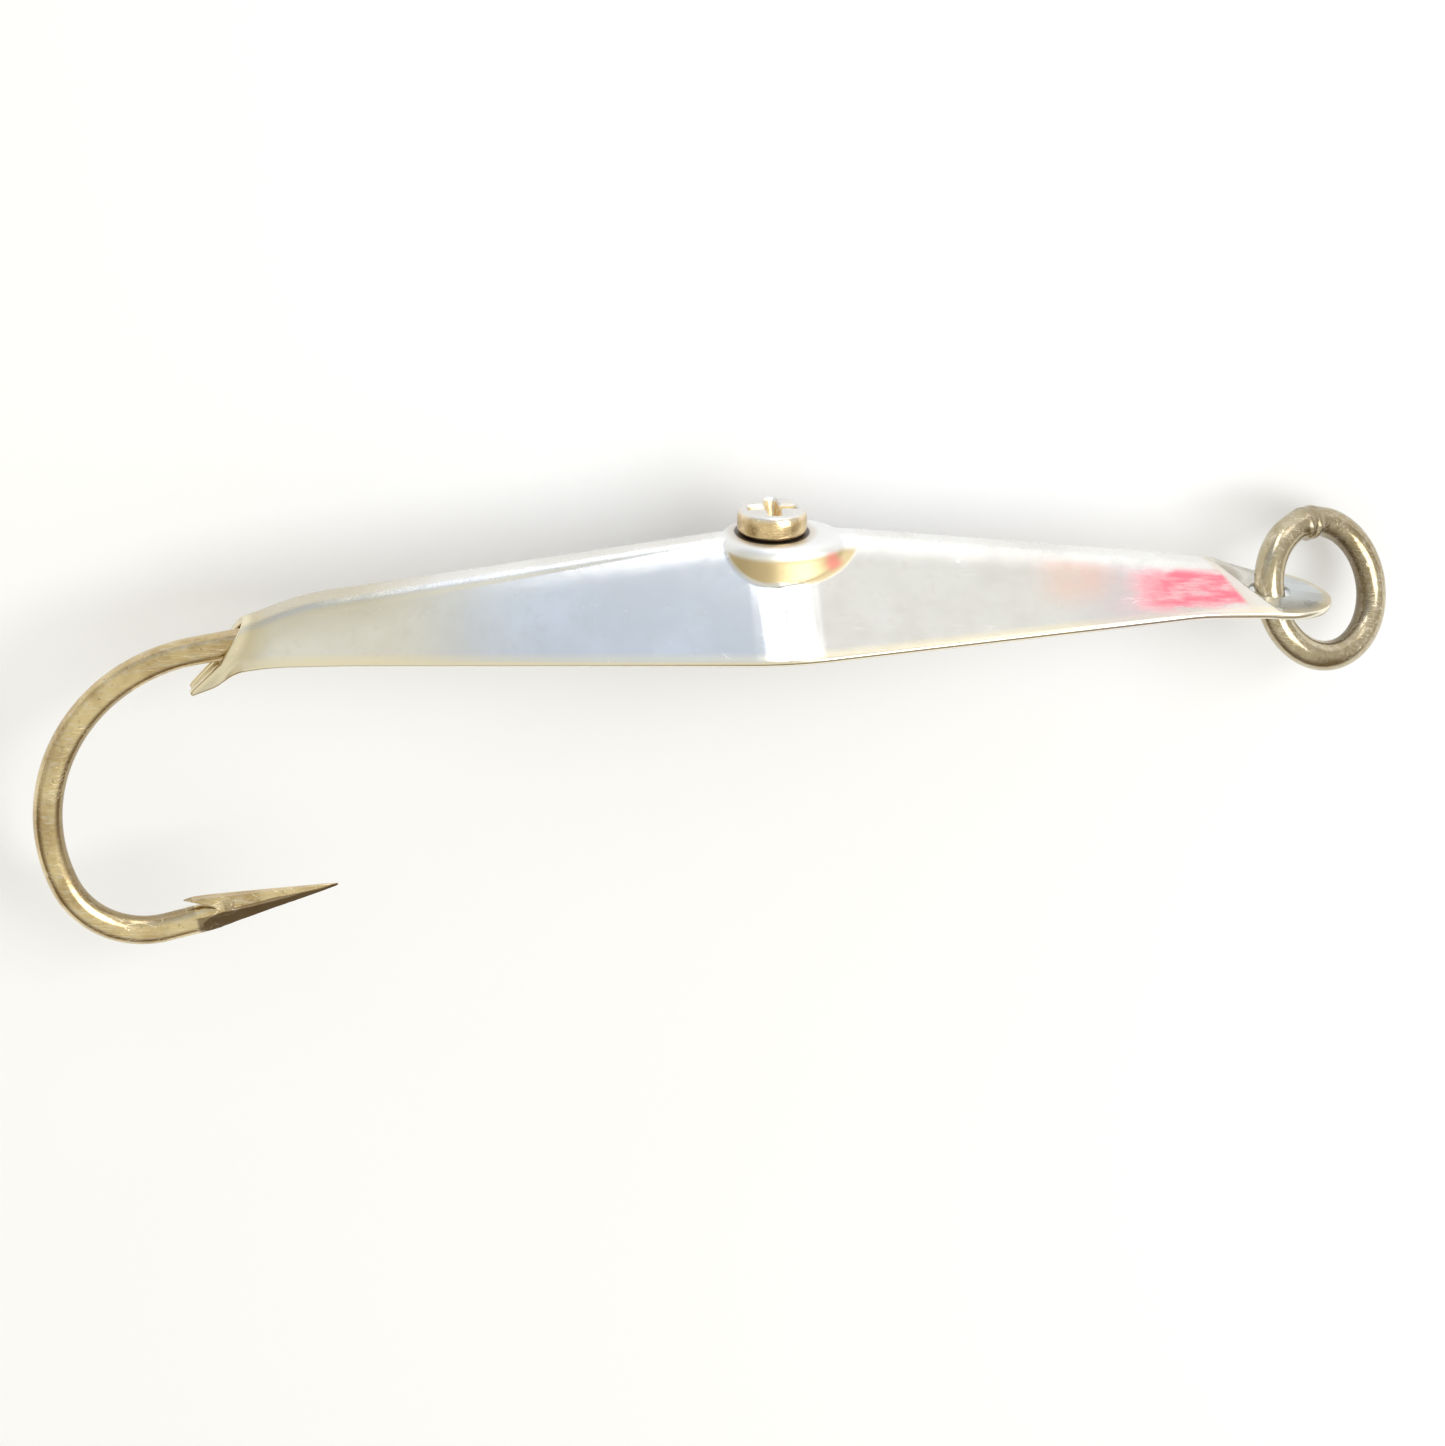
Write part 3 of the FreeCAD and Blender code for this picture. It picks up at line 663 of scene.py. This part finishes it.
def pressed(x, y, z, depth):
    """Presses the boss, its flat seat and the flat tab into the folded sheet."""
    r = np.hypot(np.where(x > 0, x * BOSS_STRETCH, x), z)
    lid = HEAD_UNDER - depth + ramp(0.45 * (r - BOSS_RADIUS - 0.9), 0.5)
    y_boss = smooth_max(smooth_min(y, lid, 0.4), boss_side(r, depth), 0.2)
    y = np.where(r < 12, y_boss, y)
    tab = tab_height(x) - depth - 0.045 * np.abs(z)
    crease = 43.6 + TAB_CREASE * np.abs(z) - depth * 0.5
    drop = np.interp(x, [0, HEAD_PLACE, 60], [0, -4.65, -6.6]) - depth + 0.35
    wall_down = drop - ramp((x - crease) * 1.25, 0.6)
    blend = 0.15 + 0.9 * np.clip(1 - np.abs(z) / TAB_RADIUS, 0, 1)
    y_head = smooth_max(tab, smooth_min(y, wall_down, 0.9), blend)
    share = smooth_step((x - 39.5) / 2.0)
    return y * (1 - share) + y_head * share


CUT_HEIGHTS = [-19.0, -15.7, -12.7, -8.2, -5.0]
CUT_PLACES = [-57.2, -57.2, -54.3, -51.9, -51.3]


def tail_start(depth):
    """Where each column of the sheet begins, on the slanted cut at the tail."""
    x = np.full(ACROSS, -53.0)
    for _ in range(25):
        y, _z = skin_point(x, depth)
        x = 0.5 * x + 0.5 * (np.interp(y, CUT_HEIGHTS, CUT_PLACES) + RIM)
    return x


def stations():
    parts = [np.linspace(-44, -8.6, 28, endpoint=False), np.linspace(-8.6, 8.6, 88, endpoint=False),
             np.linspace(8.6, 39.5, 26, endpoint=False), np.linspace(39.5, 50.2, 46)]
    return np.concatenate(parts)


def sheet_skin(depth):
    """Grid of points, tail to nose, on the outer skin or on the one depth under it."""
    rows = []
    start = tail_start(0.0)
    for share in np.linspace(0, 1, 36, endpoint=False):
        x = start * (1 - share) - 44 * share
        y, z = skin_point(x, depth)
        rows.append(np.stack([x, y, z], 1))
    for place in stations():
        x = np.full(ACROSS, place)
        y, z = skin_point(x, depth)
        rows.append(np.stack([x, pressed(x, y, z, depth), z], 1))
    last = rows[-1]
    limit = np.abs(last[:, 2]).max()
    bulge = np.sqrt(np.maximum(limit ** 2 - last[:, 2] ** 2, 0))
    for turn in np.linspace(0, math.pi / 2, 22)[1:]:
        x = 50.2 + math.sin(turn) * bulge
        y, _z = skin_point(np.full(ACROSS, 50.2), depth)
        rows.append(np.stack([x, pressed(x, y, last[:, 2], depth), last[:, 2]], 1))
    return np.stack(rows)


def sheet_edge(long, wide):
    """(row, column) of each point round the sheet's edge."""
    return ([(i, wide - 1) for i in range(long)] + [(long - 1, j) for j in range(wide - 2, 0, -1)]
            + [(i, 0) for i in range(long - 1, -1, -1)] + [(0, j) for j in range(1, wide - 1)])


def away_from_sheet(top, low, centre):
    """Unit directions that lead off the sheet, square to its edge and to its thickness."""
    along = np.roll(top, -2, 0) - np.roll(top, 2, 0)
    outward = np.cross(low - top, along)
    for k in np.where(np.linalg.norm(outward, axis=1) < TINY)[0]:
        outward[k] = outward[k - 1]
    outward /= np.maximum(np.linalg.norm(outward, axis=1), TINY)[:, None]
    return outward if np.sum(outward * (top - centre)) >= 0 else -outward


def rim_rows(top, low, outward):
    """Rows of points that round the sheet's edge off, from its outer skin to its inner one."""
    rows = []
    for turn in np.linspace(0, math.pi, 9)[1:-1]:
        inset = RIM * (1 - abs(math.cos(turn))) / SHEET
        share = inset if turn < math.pi / 2 else 1 - inset
        if abs(turn - math.pi / 2) < TINY:
            share = 0.5
        rows.append(top + (low - top) * share + outward * RIM * math.sin(turn))
    return rows


def folded_sheet():
    """The pressed sheet as one closed mesh, and the middle line of its edge."""
    outer, inner = sheet_skin(0.0), sheet_skin(SHEET)
    long, wide = outer.shape[:2]
    edge = sheet_edge(long, wide)
    top, low = (np.array([skin[k] for k in edge]) for skin in (outer, inner))
    rows = rim_rows(top, low, away_from_sheet(top, low, outer.reshape(-1, 3).mean(0)))
    count = long * wide
    faces = grid(long, wide) + [f[::-1] for f in grid(long, wide, count)]
    first = [i * wide + j for i, j in edge]
    strips = [first]
    for k in range(len(rows)):
        strips.append(list(range(2 * count + k * len(edge), 2 * count + (k + 1) * len(edge))))
    strips.append([w + count for w in first])
    for upper, under in zip(strips, strips[1:]):
        for k in range(len(edge)):
            n = (k + 1) % len(edge)
            faces.append([upper[k], upper[n], under[n], under[k]])
    points = np.concatenate([outer.reshape(-1, 3), inner.reshape(-1, 3), *rows])
    return weld(new_piece("body_sheet", points, faces), gap=0.004), (top + low) / 2


def cut_holes(body):
    """Cuts the screw's hole, and the ring's hole with a rounded lip on both sides."""
    drill = turned("screw_hole", [(0, 1), (1.95, 1), (1.95, -4), (0, -4)], 64)
    combine(body, drill, "DIFFERENCE")
    lip = [(2.5, 0.06), (2.32, -0.02), (2.16, -0.12), (2.07, -0.28), (2.05, -0.4),
           (2.07, -0.55), (2.16, -0.70), (2.32, -0.80), (2.5, -0.88)]
    eye = turned("ring_hole", [(0, 2.0), (2.5, 2.0), *lip, (2.5, -3.0), (0, -3.0)], 64)
    lean = Matrix.Rotation(math.radians(-4.2), 3, "Z")
    place = [RING_HOLE[0], tab_height(RING_HOLE[0]), 0]
    move_points(eye, own_points(eye) @ np.array(lean).T + place)
    combine(body, eye, "DIFFERENCE")


def edge_gaps(points, middle_line):
    """Distance from each point to the middle line of the sheet's edge."""
    onward = np.roll(middle_line, -1, 0)
    filled = np.concatenate([middle_line * (1 - t) + onward * t for t in (0, 0.2, 0.4, 0.6, 0.8)])
    tree = KDTree(len(filled))
    for k, place in enumerate(filled):
        tree.insert(place, k)
    tree.balance()
    return np.array([tree.find(place)[2] for place in points])


def make_body():
    body, middle_line = folded_sheet()
    cut_holes(body)
    body.data.materials.clear()
    body.data.materials.append(POLISHED)
    body.data.shade_smooth()
    body.data.set_sharp_from_angle(angle=math.radians(40))
    # The rim layer places the painted highlight along the sheet's rounded edge.
    paint(body, "rim", np.clip((1.1 - edge_gaps(own_points(body), middle_line)) / 0.6, 0, 1))
    return body


BODY = make_body()


# --------------------------------------------------------------------- the hook

def facing(piece, place):
    """How far each point of a bent wire faces a place inside the bend, where painted shade goes."""
    normals = np.array([v.normal for v in piece.data.vertices])
    toward = np.array(place) - own_points(piece)
    toward /= np.linalg.norm(toward, axis=1)[:, None]
    return np.clip(((normals * toward).sum(1) - 0.30) / 0.5, 0, 1)


WIRE = 1.4
SWEPT_WIRE, WIRE_IDS = swept_wire_tree()


def arc(centre, radius, first, last, steps):
    turns = np.radians(np.linspace(first, last, steps))
    return np.stack([centre[0] + radius * np.cos(turns), centre[1] + radius * np.sin(turns),
                     0 * turns], 1)


BEND_FLAT = 0.88
BEND_CENTRE = (-55.0, -29.0, 0.0)
SPEAR_FOOT = np.array([-57.05, -40.30])
SPEAR_TIP = np.array([-42.85, -36.90])


def bend_share(x):
    """How far a place round the bend is forged flat."""
    return smooth_step((-58.5 - x) / 6.0)


def make_wire():
    turns = np.linspace(0, 2 * math.pi, 96, endpoint=False)
    eye = np.stack([EYE_RADIUS * np.cos(turns), 0 * turns - EYE_DROP, EYE_RADIUS * np.sin(turns)], 1)
    shank = np.linspace((-EYE_RADIUS, -EYE_DROP, 0), (-56.52, -11.59, 0), 60)
    front = arc((-53.74, -28.97), 17.6, 99.1, 204.0, 90)
    rear = arc((-61.96, -32.63), 8.6, 204.0, 283.4, 50)
    spear_start = SPEAR_FOOT + 0.05 * (SPEAR_TIP - SPEAR_FOOT)
    into_spear = np.linspace((-59.97, -41.0, 0), (*spear_start, 0), 12)
    run = np.concatenate([shank, front[1:], rear[1:], into_spear[1:]])
    for _ in range(6):
        run[1:-1] = run[1:-1] * 0.5 + (run[:-2] + run[2:]) * 0.25
    thick = 1.0 + 0.045 * bend_share(run[:, 0])
    path = path_piece("hook_wire", [(eye, [1.0] * len(eye), True), (run, thick, False)])
    wire = grown(path, SWEPT_WIRE, WIRE_IDS,
                 {"Wire Radius": WIRE * MM, "Sides": 48, "Finish": TINNED_GOLD})
    wire.data.shade_smooth()
    points = own_points(wire)
    points[:, 2] *= 1 - (1 - BEND_FLAT) * bend_share(points[:, 0])
    move_points(wire, points)
    return wire


FACET_TURN = 26
SPEAR_DIRECTION = (SPEAR_TIP - SPEAR_FOOT) / np.linalg.norm(SPEAR_TIP - SPEAR_FOOT)
SPEAR_UP = np.array([-SPEAR_DIRECTION[1], SPEAR_DIRECTION[0]])


def on_spear(s, up, out):
    place = SPEAR_FOOT + s * SPEAR_DIRECTION + up * SPEAR_UP
    return (place[0], place[1], out)


def clipped_round(radius, squash, cuts, steps=96):
    """A round section cut back by straight facets; each cut is (angle, distance)."""
    angles = np.linspace(0, 2 * math.pi, steps, endpoint=False)
    reach = radius / np.hypot(np.sin(angles), np.cos(angles) / squash)
    for turn, distance in cuts:
        facing = np.cos(angles - math.radians(turn))
        reach = np.where(facing > 1e-3, np.minimum(reach, distance / np.maximum(facing, 1e-3)), reach)
    return reach * np.sin(angles), reach * np.cos(angles)


def closed_loft(name, rings):
    steps = len(rings[0])
    points = [p for ring in rings for p in ring]
    faces = grid(len(rings), steps, ring=True)
    faces += [list(range(steps)), [(len(rings) - 1) * steps + k for k in range(steps)][::-1]]
    return weld(new_piece(name, points, faces), sharp=24)


def make_spear():
    """The point: a round blade ground to two lower facets, and the barb's strip along its top."""
    blade = []
    for s in np.concatenate([np.linspace(-0.6, 2.6, 34), np.linspace(2.8, 14.4, 50), [14.55]]):
        radius = np.interp(s, [-1, 2, 14.6], [1.44, 1.42, 0.16])
        facet = np.interp(s, [-0.6, 0.2, 1.6, 3.6, 6.0, 8.3, 10.7, 13.0, 14.6],
                          [1.62, 1.34, 0.92, 0.68, 0.50, 0.38, 0.33, 0.24, 0.05])
        crown = np.interp(s, [-0.6, 1.0, 2.4, 7.0, 13.0, 14.6], [1.5, 1.4, 1.0, 0.7, 0.22, 0.05])
        cuts = [(-FACET_TURN, facet), (180 + FACET_TURN, facet), (90, crown)]
        up, out = clipped_round(radius, 0.90, cuts)
        blade.append([on_spear(s, u, z) for u, z in zip(up, out)])
    blade = closed_loft("hook_blade", blade)
    strip = []
    for s in np.concatenate([np.linspace(-0.62, 2.9, 30), np.linspace(3.1, 14.3, 48), [14.6]]):
        top = np.interp(s, [-0.62, 0.2, 13.05, 14.6], [2.40, 2.36, 0.36, 0.06])
        low = np.interp(s, [-0.62, 1.2, 2.2, 2.9, 6, 14.6], [2.30, 1.72, 1.15, 0.45, 0.22, -0.06])
        flat = np.interp(s, [-0.62, 0.6, 2.5, 8, 14.6], [0.06, 0.42, 0.50, 0.32, 0.05])
        wide = np.interp(s, [-0.62, 0.6, 2.2, 3.2, 8, 14.6], [0.08, 0.62, 0.98, 1.10, 0.66, 0.08])
        keel = low - (top - low) * 0.05
        corner = 0.06
        ring = [(top, -flat), (top, flat), (top - corner, flat + corner),
                (low + corner, wide), (low, wide - corner), (keel, 0.05), (keel, -0.05),
                (low, -wide + corner), (low + corner, -wide), (top - corner, -flat - corner)]
        strip.append([on_spear(s, u, z) for u, z in ring])
    strip = closed_loft("hook_barb", strip)
    return combine(blade, strip, "UNION")


def make_hook():
    wire, spear = make_wire(), make_spear()
    spear.data.shade_smooth()
    spear.data.set_sharp_from_angle(angle=math.radians(24))
    spear.data.materials.clear()
    spear.data.materials.append(TINNED_GOLD)
    hook = combine(wire, spear, "UNION")
    hook.data.materials.clear()
    hook.data.materials.append(TINNED_GOLD)
    hook.data.set_sharp_from_angle(angle=math.radians(26))
    p = own_points(hook)
    s = (p[:, :2] - SPEAR_FOOT) @ SPEAR_DIRECTION
    n = (p[:, :2] - SPEAR_FOOT) @ SPEAR_UP
    facet = np.interp(s, [1.6, 3.6, 6.0, 8.3, 10.7, 13.0, 14.6],
                      [0.92, 0.68, 0.50, 0.38, 0.33, 0.24, 0.05])
    turn = math.radians(FACET_TURN)
    depth = facet - (np.abs(p[:, 2]) * math.cos(turn) - n * math.sin(turn))
    # Painted dark reflection on the spear's lower facets, and painted shade on the wire's inner side of
    # the bend.
    on_facet = (s > 0.2) & (depth < 0.06) & (p[:, 0] > -57.5) & (p[:, 1] < -35)
    dark = np.where(on_facet, 0.95, 0.0)
    paint(hook, "tarnish", np.maximum(dark, 0.7 * facing(hook, BEND_CENTRE) * (s < 0.2)))
    return hook


HOOK = make_hook()


# ------------------------------------------------------- screw, washer and nut

SCREW_RADIUS = 1.75
THREAD_PITCH = 0.794
ROLLED_THREAD, THREAD_IDS = rolled_thread_tree()


def rim_of_head(piece, low, high, radius):
    p = own_points(piece)
    beside = np.abs(np.hypot(p[:, 0], p[:, 2]) - radius)
    edge = beside + np.minimum(np.abs(p[:, 1] - high), np.abs(p[:, 1] - low))
    # The rim layer places the painted highlight along these edges.
    paint(piece, "rim", np.clip(1 - edge / 0.7, 0, 1))


def recess_cutter():
    """A cross that narrows downwards, with a cone at its middle."""
    rings = []
    for height, reach, half in ((2.5, 3.2, 1.05), (1.82, 2.75, 0.80), (1.40, 2.25, 0.60),
                                (0.70, 1.35, 0.42), (0.0, 0.70, 0.28)):
        ring = []
        for turn in range(4):
            c, s = math.cos(turn * math.pi / 2), math.sin(turn * math.pi / 2)
            for x, z in ((half * 1.25, -half), (reach * 0.93, -half * 0.92), (reach, -half * 0.6),
                         (reach, half * 0.6), (reach * 0.93, half * 0.92), (half * 1.25, half)):
                ring.append((x * c - z * s, height, x * s + z * c))
        rings.append(ring)
    return closed_loft("recess_cross", rings)


def make_screw():
    top = HEAD_CROWN
    outline = rounded([(0, top), (1.5, top - 0.02), (2.95, top - 0.12), (3.28, top - 0.36),
                       (HEAD_RADIUS, top - 0.95), (3.43, HEAD_UNDER + 0.36), (3.08, HEAD_UNDER),
                       (SCREW_RADIUS, HEAD_UNDER)], 0.22)
    outline += [(SCREW_RADIUS, HEAD_UNDER - 0.7), (1.38, HEAD_UNDER - 0.95), (1.38, -8.45),
                (1.12, -8.79), (0, -8.79)]
    screw = turned("pan_head_screw", outline, 128)
    combine(screw, recess_cutter(), "DIFFERENCE")
    start = path_piece("screw_thread", [([(0, 0, 0), (0, 1, 0)], [1, 1], False)])
    turns = (8.45 - 1.9) / THREAD_PITCH
    thread = grown(start, ROLLED_THREAD, THREAD_IDS,
                   {"Radius": 1.50 * MM, "Depth": 0.24 * MM, "Height": turns * THREAD_PITCH * MM,
                    "Turns": turns, "Finish": FASTENER})
    flat = np.empty(len(thread.data.vertices) * 3)
    thread.data.vertices.foreach_get("co", flat)
    p = flat.reshape(-1, 3) / MM
    move_points(thread, np.stack([p[:, 0], -1.9 - p[:, 2], p[:, 1]], 1))
    form = bmesh.new()
    form.from_mesh(thread.data)
    bmesh.ops.recalc_face_normals(form, faces=form.faces)
    form.to_mesh(thread.data)
    form.free()
    join(screw, thread)
    rim_of_head(screw, top + 3, top - 0.3, 3.2)
    screw.data.materials.clear()
    screw.data.materials.append(FASTENER)
    return screw


WASHER_TOP, WASHER_THICK, WASHER_RADIUS = -4.49, 0.79, 3.18
NUT_TOP, NUT_THICK, NUT_FLATS = -5.30, 2.78, 3.97


def make_lock_washer():
    """A split spring washer, its section rounded at the corners and its ends cut square."""
    inner, outer, h = SCREW_RADIUS + 0.12, WASHER_RADIUS, WASHER_THICK
    corners = [(inner + 0.4, 0), (outer, 0), (outer, -h), (inner, -h), (inner, 0), (inner + 0.4, 0)]
    section = rounded(corners, 0.16, 4)[:-1]
    half_gap = math.asin(0.3 / outer)
    rings = []
    for a in np.linspace(half_gap, 2 * math.pi - half_gap, 110):
        rings.append([(r * math.cos(a), WASHER_TOP + y, r * math.sin(a)) for r, y in section])
    washer = closed_loft("split_lock_washer", rings)
    rim_of_head(washer, WASHER_TOP - h, WASHER_TOP, outer)
    washer.data.materials.append(FASTENER)
    return washer


def make_nut():
    """A hexagon nut whose corners are turned off by a cone on both faces."""
    angles = np.linspace(0, 2 * math.pi, 144, endpoint=False)
    corner = NUT_FLATS / math.cos(math.pi / 6)
    folded = np.mod(angles, math.pi / 3) - math.pi / 6
    hexagon = np.minimum(NUT_FLATS / np.cos(folded), corner - 0.06)
    bore = SCREW_RADIUS + 0.05
    rings = []

    def ring(radius, height):
        r = np.broadcast_to(radius, angles.shape)
        y = np.broadcast_to(height, angles.shape)
        rings.append(list(zip(r * np.cos(angles), y, r * np.sin(angles))))

    drop = (hexagon - NUT_FLATS) * 0.60
    for sign, face in ((1, NUT_TOP), (-1, NUT_TOP - NUT_THICK)):
        order = [(bore, -0.32), (bore + 0.30, 0.0), (NUT_FLATS * 0.96, 0.0),
                 (hexagon - 0.05, -drop), (hexagon, -drop - 0.06)]
        for radius, down in (order if sign > 0 else order[::-1]):
            ring(radius, face + sign * np.asarray(down))
    points = [p for one in rings for p in one]
    faces = grid(len(rings), len(angles), ring=True, closed=True)
    nut = weld(new_piece("hexagon_nut", points, faces), sharp=28)
    rim_of_head(nut, NUT_TOP - NUT_THICK, NUT_TOP, corner)
    nut.data.materials.append(FASTENER)
    return nut


SCREW, WASHER, NUT = make_screw(), make_lock_washer(), make_nut()


# -------------------------------------------------------------- the leader ring

RING_RADIUS, RING_WIRE = 6.8, 1.5
RING_TURN = (Matrix.Rotation(math.radians(31.6), 3, "Y") @ Matrix.Rotation(math.radians(-23), 3, "X")
             @ Matrix.Rotation(math.radians(-8.5), 3, "Z"))
WELD_TURN = math.radians(97)


def make_ring():
    turns = np.linspace(0, 2 * math.pi, 240, endpoint=False)
    away = np.abs((turns - WELD_TURN + math.pi) % (2 * math.pi) - math.pi)
    thick = 1 + 0.05 * np.exp(-(away / 0.16) ** 2) - 0.02 * np.exp(-((away - 0.28) / 0.08) ** 2)
    local = np.stack([RING_RADIUS * np.cos(turns), RING_RADIUS * np.sin(turns), 0 * turns], 1)
    path = path_piece("leader_ring_wire", [(local, thick, True)])
    ring = grown(path, SWEPT_WIRE, WIRE_IDS,
                 {"Wire Radius": RING_WIRE * MM, "Sides": 64, "Finish": TINNED_RING})
    p = own_points(ring)
    angle = np.arctan2(p[:, 1], p[:, 0])
    off = (angle - WELD_TURN + math.pi) % (2 * math.pi) - math.pi
    radial = np.hypot(p[:, 0], p[:, 1]) - RING_RADIUS
    inner = smooth_step(-radial / RING_WIRE)
    # The upset bead of the butt weld: two lips with a groove between, proud on the inner side.
    bead = 0.26 * np.exp(-((np.abs(off) - 0.085) / 0.045) ** 2) - 0.10 * np.exp(-(off / 0.03) ** 2)
    across = np.stack([radial * np.cos(angle), radial * np.sin(angle), p[:, 2]], 1)
    across /= np.maximum(np.linalg.norm(across, axis=1), 1e-6)[:, None]
    p = p + across * (bead * (0.35 + 0.65 * inner))[:, None]
    heat = np.exp(-(off / 0.30) ** 2)
    p = (p + [RING_RADIUS, 0, 0]) @ np.array(RING_TURN).T + RING_HOLE
    move_points(ring, p)
    ring.data.shade_smooth()
    # Painted shade on the inner side of the ring's right-hand limb, added to the weld's heat tint.
    right = smooth_step((own_points(ring)[:, 0] - RING_HOLE[0] - 5) / 3)
    shade = facing(ring, np.array(RING_TURN) @ [RING_RADIUS, 0, 0] + RING_HOLE) * right
    paint(ring, "tarnish", np.clip(0.35 * heat + 0.7 * shade, 0, 1))
    return ring


RING = make_ring()


# ------------------------------------------------------------------ what rides

def finish_piece(piece, body, node):
    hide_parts(node)
    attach(piece, body)


finish_piece(BODY, "lure", "body_shell")
finish_piece(HOOK, "lure", "hook")
finish_piece(SCREW, "lure", "screw")
finish_piece(WASHER, "lure", "lock_washer")
finish_piece(NUT, "lure", "nut")
finish_piece(RING, "ring", "leader_ring")


# ------------------------------------------------------- camera, floor and light

TILT, SWING, ROLL = math.radians(22), math.radians(7.4), math.radians(1.0)
TO_CAMERA = Vector((-math.sin(SWING) * math.cos(TILT), math.sin(TILT), math.cos(SWING) * math.cos(TILT)))
RIGHT = Vector((math.cos(SWING), 0, math.sin(SWING)))
UP = TO_CAMERA.cross(RIGHT)
RIGHT, UP = RIGHT * math.cos(ROLL) + UP * math.sin(ROLL), UP * math.cos(ROLL) - RIGHT * math.sin(ROLL)
CAMERA_DISTANCE = 0.55
VIEW_WIDTH = 0.1417
SENSOR = 36.0

camera_data = bpy.data.cameras.new("camera")
camera_data.sensor_width = SENSOR
camera_data.lens = SENSOR * CAMERA_DISTANCE / VIEW_WIDTH
camera_data.clip_start = 0.01
camera = bpy.data.objects.new("camera", camera_data)
bpy.context.scene.collection.objects.link(camera)
aim = Vector(ORIGIN) + (RIGHT * -4.85 + UP * -19.56) * MM
camera.matrix_world = Matrix.Translation(aim + TO_CAMERA * CAMERA_DISTANCE) @ Matrix(
    (RIGHT, UP, TO_CAMERA)).transposed().to_4x4()
bpy.context.scene.camera = camera


def soft_light(name, place, target, size, power, colour):
    data = bpy.data.lights.new(name, "AREA")
    data.shape = "RECTANGLE"
    data.size, data.size_y = size
    data.energy = power
    data.color = colour
    light = bpy.data.objects.new(name, data)
    light.location = place
    light.rotation_mode = "QUATERNION"
    light.rotation_quaternion = (Vector(target) - Vector(place)).to_track_quat("-Z", "Y")
    bpy.context.scene.collection.objects.link(light)


middle = Vector(ORIGIN)
for name, offset, size, strength, colour in (
        ("key_softbox", (0.34, 0.12, 0.55), (0.50, 0.40), 2.5, (0.98, 0.985, 1.0)),
        ("side_softbox", (0.38, 0.60, 0.14), (0.30, 0.12), 0.15, (1.0, 0.97, 0.92)),
        ("left_strip", (0.00, 0.80, 0.16), (0.055, 0.34), 0.32, (1.0, 1.0, 1.0)),
        ("right_strip", (0.115, 0.80, 0.15), (0.075, 0.34), 0.42, (1.0, 1.0, 1.0))):
    soft_light(name, middle + Vector(offset), middle, size, strength, colour)

FLOOR_HALF, FLOOR_LEVEL = 4.0, -0.0002
floor_corners = [(x * FLOOR_HALF, y * FLOOR_HALF, FLOOR_LEVEL)
                 for x, y in ((-1, -1), (1, -1), (1, 1), (-1, 1))]
floor_mesh = bpy.data.meshes.new("pale_floor")
floor_mesh.from_pydata(floor_corners, [], [(0, 1, 2, 3)])
floor = bpy.data.objects.new("pale_floor", floor_mesh)
bpy.context.scene.collection.objects.link(floor)
floor_finish = bpy.data.materials.new("pale_floor")
floor_finish.use_nodes = True
floor_shader = floor_finish.node_tree.nodes["Principled BSDF"]
floor_shader.inputs["Base Color"].default_value = (0.90, 0.91, 0.95, 1)
floor_shader.inputs["Roughness"].default_value = 0.9
floor_mesh.materials.append(floor_finish)


def room():
    """A soft room: bright overhead, cool ahead, warm to the sides, and dim behind the camera."""
    world = bpy.data.worlds.new("soft_room")
    bpy.context.scene.world = world
    world.use_nodes = True
    tree = world.node_tree
    start = Value(tree, None)
    ray = start.node("ShaderNodeTexCoord", out="Generated")
    x, y, z = axes(ray)
    across = (x * 0.5 + 0.5).node("ShaderNodeValToRGB", {"stops": [
        (0.0, (0.58, 0.54, 0.42)), (0.30, (0.58, 0.62, 0.69)), (0.41, (0.60, 0.67, 0.78)),
        (0.50, (0.62, 0.68, 0.76)), (0.52, (0.25, 0.28, 0.32)), (0.54, (0.25, 0.28, 0.32)),
        (0.58, (0.98, 0.98, 0.98)), (0.64, (0.76, 0.75, 0.70)), (0.75, (0.78, 0.78, 0.76)),
        (1.0, (0.60, 0.57, 0.50))]},
        i0=x * 0.5 + 0.5)
    above = z.step(0.38, 0.72).tinted(across, (0.72, 0.70, 0.60, 1))
    behind = (y.step(0.05, -0.45) * z.step(0.75, 0.25)).tinted(above, (0.22, 0.17, 0.11, 1))
    shade = tree.nodes["Background"]
    tree.links.new(behind.socket, shade.inputs["Color"])
    shade.inputs["Strength"].default_value = 1.15


room()
bpy.context.scene.view_settings.view_transform = "Standard"
